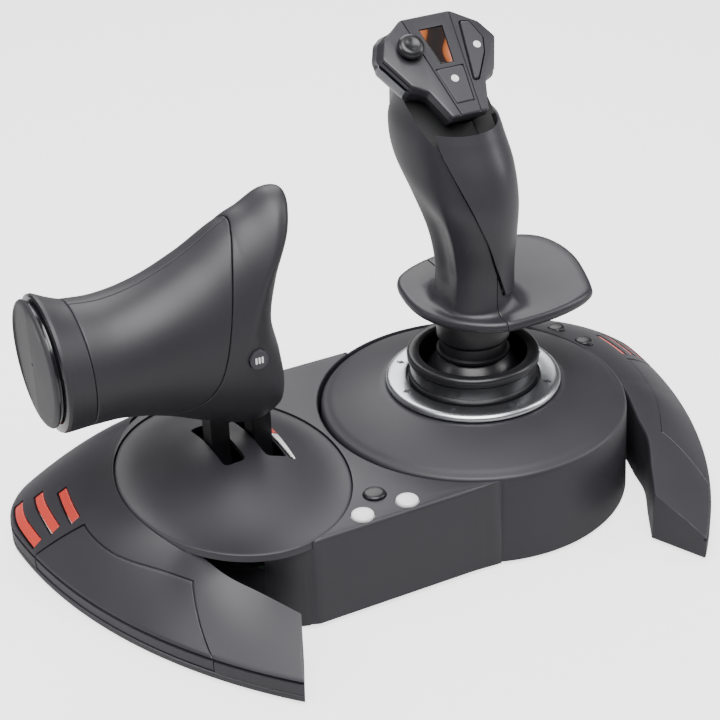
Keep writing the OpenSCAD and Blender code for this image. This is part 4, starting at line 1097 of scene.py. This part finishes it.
def head_loop(step=1.3):
    """The face's outline, clockwise, with its corners softened, in even steps."""
    half = rounded(np.concatenate([HEAD_HALF[::-1], HEAD_HALF * [-1, 1]]), 1.5, 4)
    loop = np.concatenate([half, half[:1]])
    run = np.append(0, np.cumsum(np.linalg.norm(np.diff(loop, axis=0), axis=1)))
    s = np.linspace(0, run[-1], int(run[-1] / step), endpoint=False)
    return np.column_stack([np.interp(s, run, loop[:, k]) for k in (0, 1)])


def build_head():
    loop = head_loop()
    x, y = np.abs(loop[:, 0]), loop[:, 1]
    ear = smooth((x - 13) / 8) * smooth((y - 27) / 6)
    flank = smooth((y - 13.5) / 2) * smooth((30 - y) / 2) * (x > 19)
    low = smooth((16 - y) / 6)
    # inset, growth at the ears, growth on the flanks, growth low down, height
    rows = [(1.0, 0, 0, 0, 0), (0.6, 0, 0, 0, -0.1), (0.28, 0, 0, 0, -0.3), (0, 0, 0, 0, -1.0),
            (0, 0.1, 0, 0, -1.5), (0, 0.2, -0.9, 0, -1.6), (0, 0.4, -0.9, 0, -2.5), (0, 0.4, 0.1, 0, -2.6),
            (0, 1.2, 0.2, 0, -4.3), (0, 1.2, -0.9, -0.2, -4.4), (0, 1.7, -0.9, -0.4, -5.4),
            (0, 1.9, 0.8, -0.5, -5.5), (0, 3.2, 1.6, -1.2, -7.2), (0, 2.6, 1.4, -2.0, -9.5),
            (0, 0.5, 0.2, -3.0, -12.0), (0, -2.0, -1.6, -4.0, -HEAD_T)]
    rings = []
    for inset, e, f, g, n in rows:
        ring = inset2d(loop, inset - e * ear - f * flank - g * low)
        rings.append(to_head(np.column_stack([ring, np.full(len(ring), float(n))])))
    verts, faces = ring_loft(np.stack(rings))
    count = len(loop)
    idx = np.zeros(len(faces), int)
    # the faces of the flank grooves take the gloss black plastic; low on the left flank only, the faces take
    # the light grey trigger plastic as a painted highlight
    for i in range(len(rows) - 1):
        on = (flank > 0.5) & (loop[:, 0] < 0) if i > 10 else flank > 0.5
        if i in (5, 9, 10):
            idx[i * count:(i + 1) * count][on] = 1
        if i >= 11:
            idx[i * count:(i + 1) * count][on] = 2
    head = shaped("head_shell", (verts, faces), "grip gloss trigger", idx)
    core = [np.column_stack([inset2d(loop, s + 1.2 * low), np.full(count, float(n))])
            for s, n in ((2.8, -FACE_T), (2.8, -9.0), (4.6, -HEAD_T - 1))]
    carve(head, [tool(ring_loft(np.stack([to_head(r) for r in core])))])
    holes = [(spread(CENTRE, 0.2), -FACE_T - 2), (spread(rounded(RIGHT, 1.0), 0.75), -FACE_T - 2),
             (spread(WINDOW, 0.35), -1.25), (disc_outline(HAT, 5.3, 48), -FACE_T - 3)]
    cuts = [slab(outline, depth, 3) for outline, depth in holes]
    # grooves between the middle strip and the two side fields
    for e in (-1, 1):
        a, b = np.array([e * 4.4, -8.0]), np.array([e * 12.2, 50.0])
        u = (b - a) / np.linalg.norm(b - a)
        w = np.array([-u[1], u[0]]) * 0.4
        cuts.append(slab(np.array([a - w, b - w, b + w, a + w]), -0.7, 3))
    carve_each(head, cuts)
    soften(head, 30)
    install(head, "grip", "head_cover")
    pane = slab(WINDOW, -1.15, -0.25, 0.3)
    piece("window_pane", pane, "window", "grip", "head_window")


def build_head_buttons():
    for name, node, outline, badge, k in (
            ("centre_key", "centre_head_button", CENTRE, (0, 13), 0.15),
            ("right_key", "right_head_button", RIGHT, (17.0, 26.6), 0.9)):
        cap = rounded(outline, 1.0)
        c = outline.mean(0)
        wide = c + (rounded(outline, 0.6) - c) * 1.12
        mark = disc_outline(badge, 1.75, 40)
        parts = [slab(wide, -FACE_T - 2, -FACE_T - 0.9), slab(cap, -FACE_T - 1.2, k, 0.7),
                 slab(mark, k - 0.3, k + 0.12, 0.08)]
        idx = [0] * (len(parts[0][1]) + len(parts[1][1])) + [1] * len(parts[2][1])
        piece(name, joined(parts), "panel white", node + "_body", node, idx)


def build_hat():
    prof = [(TINY, -3.9), (2.3, -3.9), (2.4, -3.5), (2.4, 0.6), (3.2, 1.0), (5.2, 1.3), (5.9, 1.8),
            (6.1, 2.5), (6.0, 3.4), (5.5, 4.3), (4.7, 4.9), (3.8, 5.1), (3.0, 5.0), (2.2, 4.7), (1.2, 4.5),
            (TINY, 4.45)]
    v, f = lathe(prof, HAT, 72)
    parts = [(to_head(v), f)]
    for e in (-1, 1):
        ear = rounded(box_outline((0, e * 3.5), 1.6, 0.6), 0.3)
        parts.append(slab(ear + HAT, -HAT_DEPTH - 1.6, -3.7))
    piece("hat_top", joined(parts), "black", "hat_body", "hat_cap")


# ---- throttle handle

HANDLE_Y = 2.0
# x, height of the middle, half height, half depth
HANDLE = [
    [-163, 122.5, 29.5, 29.5], [-158, 121.5, 30, 30], [-151, 119.6, 28.4, 28.4], [-145, 118.3, 27.2, 27.2],
    [-130, 117.3, 27, 27], [-112, 116.5, 31.3, 27], [-93, 116.2, 39.5, 28], [-74.5, 118, 48, 28],
    [-64.8, 120.5, 50, 28], [-55, 125, 50.5, 27], [-40, 128, 48, 25],
]
# height and x of the scooped thumb face on the handle's middle plane
THUMB = [[60, -68], [70, -60], [85, -53.5], [102, -54.5], [120, -57.5], [140, -54], [160, -47.5], [180, -47]]
CAP_X = node_box("end_cap")[1][0]
# angle about the handle's middle line (90 is up, 180 towards the user) and x of the housing's curved seam
SEAM_KEYS = [[-180, -88.0], [-165, -91.5], [-150, -97.5], [-135, -106.0], [-120, -112.0], [-90, -115.0],
             [-60, -112.0], [-45, -106.0], [-30, -97.5], [-15, -91.5], [0, -88.0], [25, -83.5],
             [50, -79.0], [75, -74.5], [90, -73.0], [105, -74.5], [130, -79.0], [155, -83.5], [180, -88.0]]
HANDLE_WALL = 2.6


def thumb_x(z, y):
    return spline(THUMB, z)[..., 1] - 9 * ((y - HANDLE_Y) / 20) ** 2


def handle_at(x, a):
    """A point of the handle's surface; a is 0 on the far side, 90 on top, 180 on the user's side."""
    x, a = np.broadcast_arrays(np.asarray(x, float), np.asarray(a, float))
    k = spline(HANDLE, x)
    return np.stack([x, HANDLE_Y + k[..., 3] * cosd(a), k[..., 1] + k[..., 2] * sind(a)], -1)


def face_end(a):
    """x at which the handle's surface meets the thumb face, at each angle."""
    lo, hi = np.full(len(a), -110.0), np.full(len(a), -40.5)
    for _ in range(40):
        mid = (lo + hi) / 2
        p = handle_at(mid, a)
        inside = mid < thumb_x(np.clip(p[:, 2], 60, 180), p[:, 1])
        lo, hi = np.where(inside, mid, lo), np.where(inside, hi, mid)
    return lo


def seam_x(a):
    wrapped = (np.asarray(a, float) + 180) % 360 - 180
    return spline(SEAM_KEYS, wrapped)[..., 1]


def build_handle():
    user = edged(60, 0.02)
    gap = 0.12
    for name, node, a0, a1 in (("handle_palm_side", "palm_shell", 90.0, 270.0),
                               ("handle_finger_side", "finger_shell", -90.0, 90.0)):
        a = mix(a0 + 0.15, a1 - 0.15, user)
        x = mix(CAP_X + gap, seam_x(a) - 0.18, edged(60, 0.02)[:, None])
        p = handle_at(x, np.repeat(a[None], len(x), 0))
        shell = shaped(name, closed_plate(p, HANDLE_WALL, r=0.55, flip=True), "soft")
        if node == "finger_shell":
            hole = rounded(box_outline(middle("rocker_bracket")[[0, 2]], 6, 10), 1.5)
            carve(shell, [tool(prism_y(hole, 24, 60))])
            soften(shell)
        install(shell, "throttle_lever", node)
    build_housing()
    build_cap()


def prism_y(outline, y0, y1, edge=0.0):
    """A prism along Y over an outline given as (x, z)."""
    v, f = prism(outline, y0, y1, edge)
    return v[:, [0, 2, 1]], [list(k)[::-1] for k in f]


def prism_x(outline, x0, x1, edge=0.0):
    """A prism along X over an outline given as (y, z)."""
    v, f = prism(outline, x0, x1, edge)
    return v[:, [2, 0, 1]], f


THUMB_KEYS, THUMB_FLANGE = ("thumb_button_upper", "thumb_button_lower"), 1.6
FINGER_KEYS, FINGER_FLANGE = ("finger_button_upper", "finger_button_lower"), 1.5
OVAL_FLANGE = 1.1


def cap_at(node, axis, flange):
    """Middle and cap radius of a round button that is pressed along an axis."""
    low, high = node_box(node)
    across = 1 - axis
    return middle(node), (high[across] - low[across]) / 2 - flange


def build_housing():
    n = 288
    a = np.arange(n) * 360.0 / n
    end = face_end(a)
    start = seam_x(a) + 0.18
    round_r = 2.2
    rings = []
    for v in np.concatenate([[0, 0.004, 0.01, 0.02], np.linspace(0.04, 0.9, 34)]):
        rings.append(handle_at(mix(start, end - round_r, v), a))
    rim = handle_at(end, a)
    c = np.array([0.0, HANDLE_Y, 121.0])
    def face_ring(f):
        y = c[1] + (rim[:, 1] - c[1]) * f
        z = c[2] + (rim[:, 2] - c[2]) * f
        return np.stack([thumb_x(np.clip(z, 60, 180), y), y, z], -1)
    inner = face_ring(0.94)
    outer = rings[-1]
    edge = handle_at(end - round_r * 0.1, a)
    for t in np.linspace(0, 1, 9)[1:-1]:
        # a rounded rim from the side wall on to the thumb face
        rings.append((1 - t) ** 2 * outer + 2 * t * (1 - t) * edge + t * t * inner)
    rings += [face_ring(f) for f in np.linspace(0.94, 0.01, 30)]
    p = np.stack(rings)
    solid = closed_plate(p, HANDLE_WALL, r=0.55, edges="i", wrap_j=True, flip=True)
    shell = shaped("thumb_side", solid, "soft")
    c, r = cap_at("oval_button", 1, OVAL_FLANGE)
    cuts = [prism_y(disc_outline(c[[0, 2]], r + PLAY), -45, -8)]
    for node in THUMB_KEYS:
        c, r = cap_at(node, 0, THUMB_FLANGE)
        low, high = node_box(node)
        cuts.append(prism_x(disc_outline(c[[1, 2]], r + PLAY), low[0] - 2, high[0] + 20))
    for node in FINGER_KEYS:
        c, r = cap_at(node, 1, FINGER_FLANGE)
        cuts.append(prism_y(disc_outline(c[[0, 2]], r + PLAY), 20, 60))
    foot = box_outline((middle("throttle_yoke")[0], AXLE_Y), width_x("throttle_yoke") / 2 + 0.5, 5.5)
    cuts.append(prism(rounded(foot, 0.8), 40, 88))
    carve_each(shell, cuts)
    soften(shell, 34)
    install(shell, "throttle_lever", "thumb_housing")


# distance from the end and depth of the groove between the cap's band and its end face
CAP_GROOVE = [(6.5, 0.0), (5.2, 0.5), (4.5, 1.6), (4.2, 3.2), (3.9, 4.0), (3.4, 4.2),
              (3.0, 3.4), (2.6, 2.6), (1.9, 2.3), (1.2, 2.6), (0.7, 3.3), (0.45, 4.4)]


def build_cap():
    n = 200
    a = np.arange(n) * 360.0 / n
    x0 = node_box("end_cap")[0][0]
    def ring(x, d=0.0):
        k = spline(HANDLE, np.full(n, float(x)))
        y, z = HANDLE_Y + (k[:, 3] - d) * cosd(a), k[:, 1] + (k[:, 2] - d) * sind(a)
        return np.stack([np.full(n, float(x)), y, z], -1)
    rings = [ring(CAP_X - 0.12, 0.5), ring(CAP_X - 0.3, 0.15), ring(CAP_X - 0.6, 0)]
    rings += [ring(x) for x in np.linspace(CAP_X - 1.2, x0 + 8.5, 10)]
    rings += [ring(x0 + x, d) for x, d in CAP_GROOVE]
    rim = ring(x0 + 0.45, 4.4)
    mid = np.array([0, HANDLE_Y, rim[:, 2].mean()])
    for f in (0.97, 0.8, 0.6, 0.4, 0.2, 0.03):
        p = rim.copy()
        p[:, 1:] = mid[1:] + (rim[:, 1:] - mid[1:]) * f
        # two flat facets meeting in an upright crease
        p[:, 0] = x0 + 0.1 + 0.045 * np.abs(p[:, 1] - HANDLE_Y)
        rings.append(p)
    p = np.stack(rings)
    verts, faces = closed_plate(p, HANDLE_WALL, r=0.01, edges="", wrap_j=True)
    idx = np.zeros(len(faces), int)
    # the groove's walls take the darker gloss black plastic, a painted shade for the deep groove
    idx[14 * n:21 * n] = 1
    cap = verts, faces
    piece("handle_end", cap, "soft gloss", "throttle_lever", "end_cap", idx, 24)


def side_key(node, axis, flange, edge, turns, crown):
    """A round button of the handle, pressed along an axis; crown rows are (share of radius, drop)."""
    low, high = [v[axis] for v in node_box(node)]
    c, r = cap_at(node, axis, flange)
    prof = [(TINY, low), (r + flange, low), (r + flange, low + 1.4), (r, low + 1.5)]
    prof += [(r - edge * (1 - cosd(t)), high - 1.5 * edge + edge * sind(t)) for t in turns]
    prof += [(r * f, high - drop) for f, drop in crown]
    v, f = lathe(prof, (0, 0), 64)
    flat = [v[:, 2], v[:, 0] + c[1 - axis]]
    v = np.column_stack((flat if axis == 0 else flat[::-1]) + [v[:, 1] + c[2]])
    piece(node.replace("button", "key"), (v, f), "gloss", node + "_body", node)


def build_oval_key():
    low, high = node_box("oval_button")
    c, r = cap_at("oval_button", 1, OVAL_FLANGE)
    parts = [prism_y(disc_outline(c[[0, 2]], r + OVAL_FLANGE, 56), high[1] - 1.0, high[1]),
             prism_y(disc_outline(c[[0, 2]], r, 56), high[1] - 0.9, low[1])]
    count = sum(len(p[1]) for p in parts)
    for x in (-1.4, 0.0, 1.4):
        bar = rounded(box_outline((c[0] + x, c[2]), 0.45, 1.5), 0.4)
        parts.append(prism_y(bar, low[1] + 0.3, low[1] - 0.08))
    idx = [0] * count + [1] * (sum(len(p[1]) for p in parts) - count)
    piece("oval_key", joined(parts), "panel white", "oval_button_body", "oval_button", idx)


def build_handle_keys():
    for node in THUMB_KEYS:
        side_key(node, 0, THUMB_FLANGE, 1.6, (0, 20, 40, 60, 80), ((0.5, 0.4), (0.3, 0.144), (0.004, 0)))
    build_oval_key()
    for node in FINGER_KEYS:
        side_key(node, 1, FINGER_FLANGE, 1.2, (0, 25, 50, 75), ((0.6, 0.3), (0.3, 0.15), (0.004, 0.002)))


build_boot()
build_neck()
build_grip()
build_palm()
build_head()
build_head_buttons()
build_hat()
build_handle()
build_handle_keys()

# ---- camera, floor and light

VIEW_AZ, VIEW_EL, ROLL = -26.234, 29.751, -2.112
TARGET = Vector((-2.81, 23.42, 67.46)) * MM
DISTANCE, LENS = 0.84746, 90.7      # metres and millimetres


def direction(azimuth, elevation):
    return Vector((sind(azimuth) * cosd(elevation), -cosd(azimuth) * cosd(elevation), sind(elevation)))


def facing(d):
    """The rotation of a camera or light that looks back along d."""
    return d.to_track_quat("Z", "Y").to_matrix().to_4x4()


back = direction(VIEW_AZ, VIEW_EL)
camera = bpy.data.objects.new("camera", bpy.data.cameras.new("camera"))
camera.data.lens = LENS
camera.data.sensor_width = 36
camera.location = TARGET + back * DISTANCE
roll = Matrix.Rotation(math.radians(ROLL), 4, "Z")
camera.matrix_world = Matrix.Translation(camera.location) @ facing(back) @ roll
bpy.context.scene.collection.objects.link(camera)
bpy.context.scene.camera = camera

floor_mat = moulded("studio_floor", (0.50, 0.50, 0.50), 0.6, grain=0.02, mottle=0.01, wear=0)
# the floor glows a little, for the camera only, as a lit sweep does
tree = floor_mat.node_tree
seen = add(tree, "LightPath", {}).outputs["Is Camera Ray"]
glow = add(tree, "Math", {0: seen, 1: 2.2}, operation="MULTIPLY").outputs[0]
feed(tree, tree.nodes["Principled BSDF"], {"Emission Color": (1, 1, 1, 1), "Emission Strength": glow})
sheet = box_outline((0, 0), 4000, 4000)
floor = finish_mesh("floor", np.column_stack([sheet, np.full(4, -0.05)]), [[0, 1, 2, 3]], [floor_mat])


def area_light(name, azimuth, elevation, distance, size, power, size_y=None):
    light = bpy.data.lights.new(name, "AREA")
    light.shape = "RECTANGLE"
    light.size = size
    light.size_y = size_y or size
    light.energy = power
    obj = bpy.data.objects.new(name, light)
    d = direction(azimuth, elevation)
    obj.matrix_world = Matrix.Translation(TARGET + d * distance) @ facing(d)
    bpy.context.scene.collection.objects.link(obj)


area_light("top_softbox", -20, 68, 1.1, 0.9, 24)
area_light("left_softbox", -100, 35, 1.2, 0.5, 7)
area_light("right_strip", 70, 30, 1.3, 0.35, 7, 1.0)
area_light("back_strip", 160, 45, 1.2, 0.9, 10)

world = bpy.data.worlds.new("studio")
world.use_nodes = True
# the backdrop is white to the camera and lights the object softly
tree = world.node_tree
seen = add(tree, "LightPath", {}).outputs["Is Camera Ray"]
level = add(tree, "MapRange", {"Value": seen, "To Min": 0.16, "To Max": 2.4})
feed(tree, tree.nodes["Background"], {"Color": (1, 1, 1, 1), "Strength": level.outputs["Result"]})
bpy.context.scene.world = world
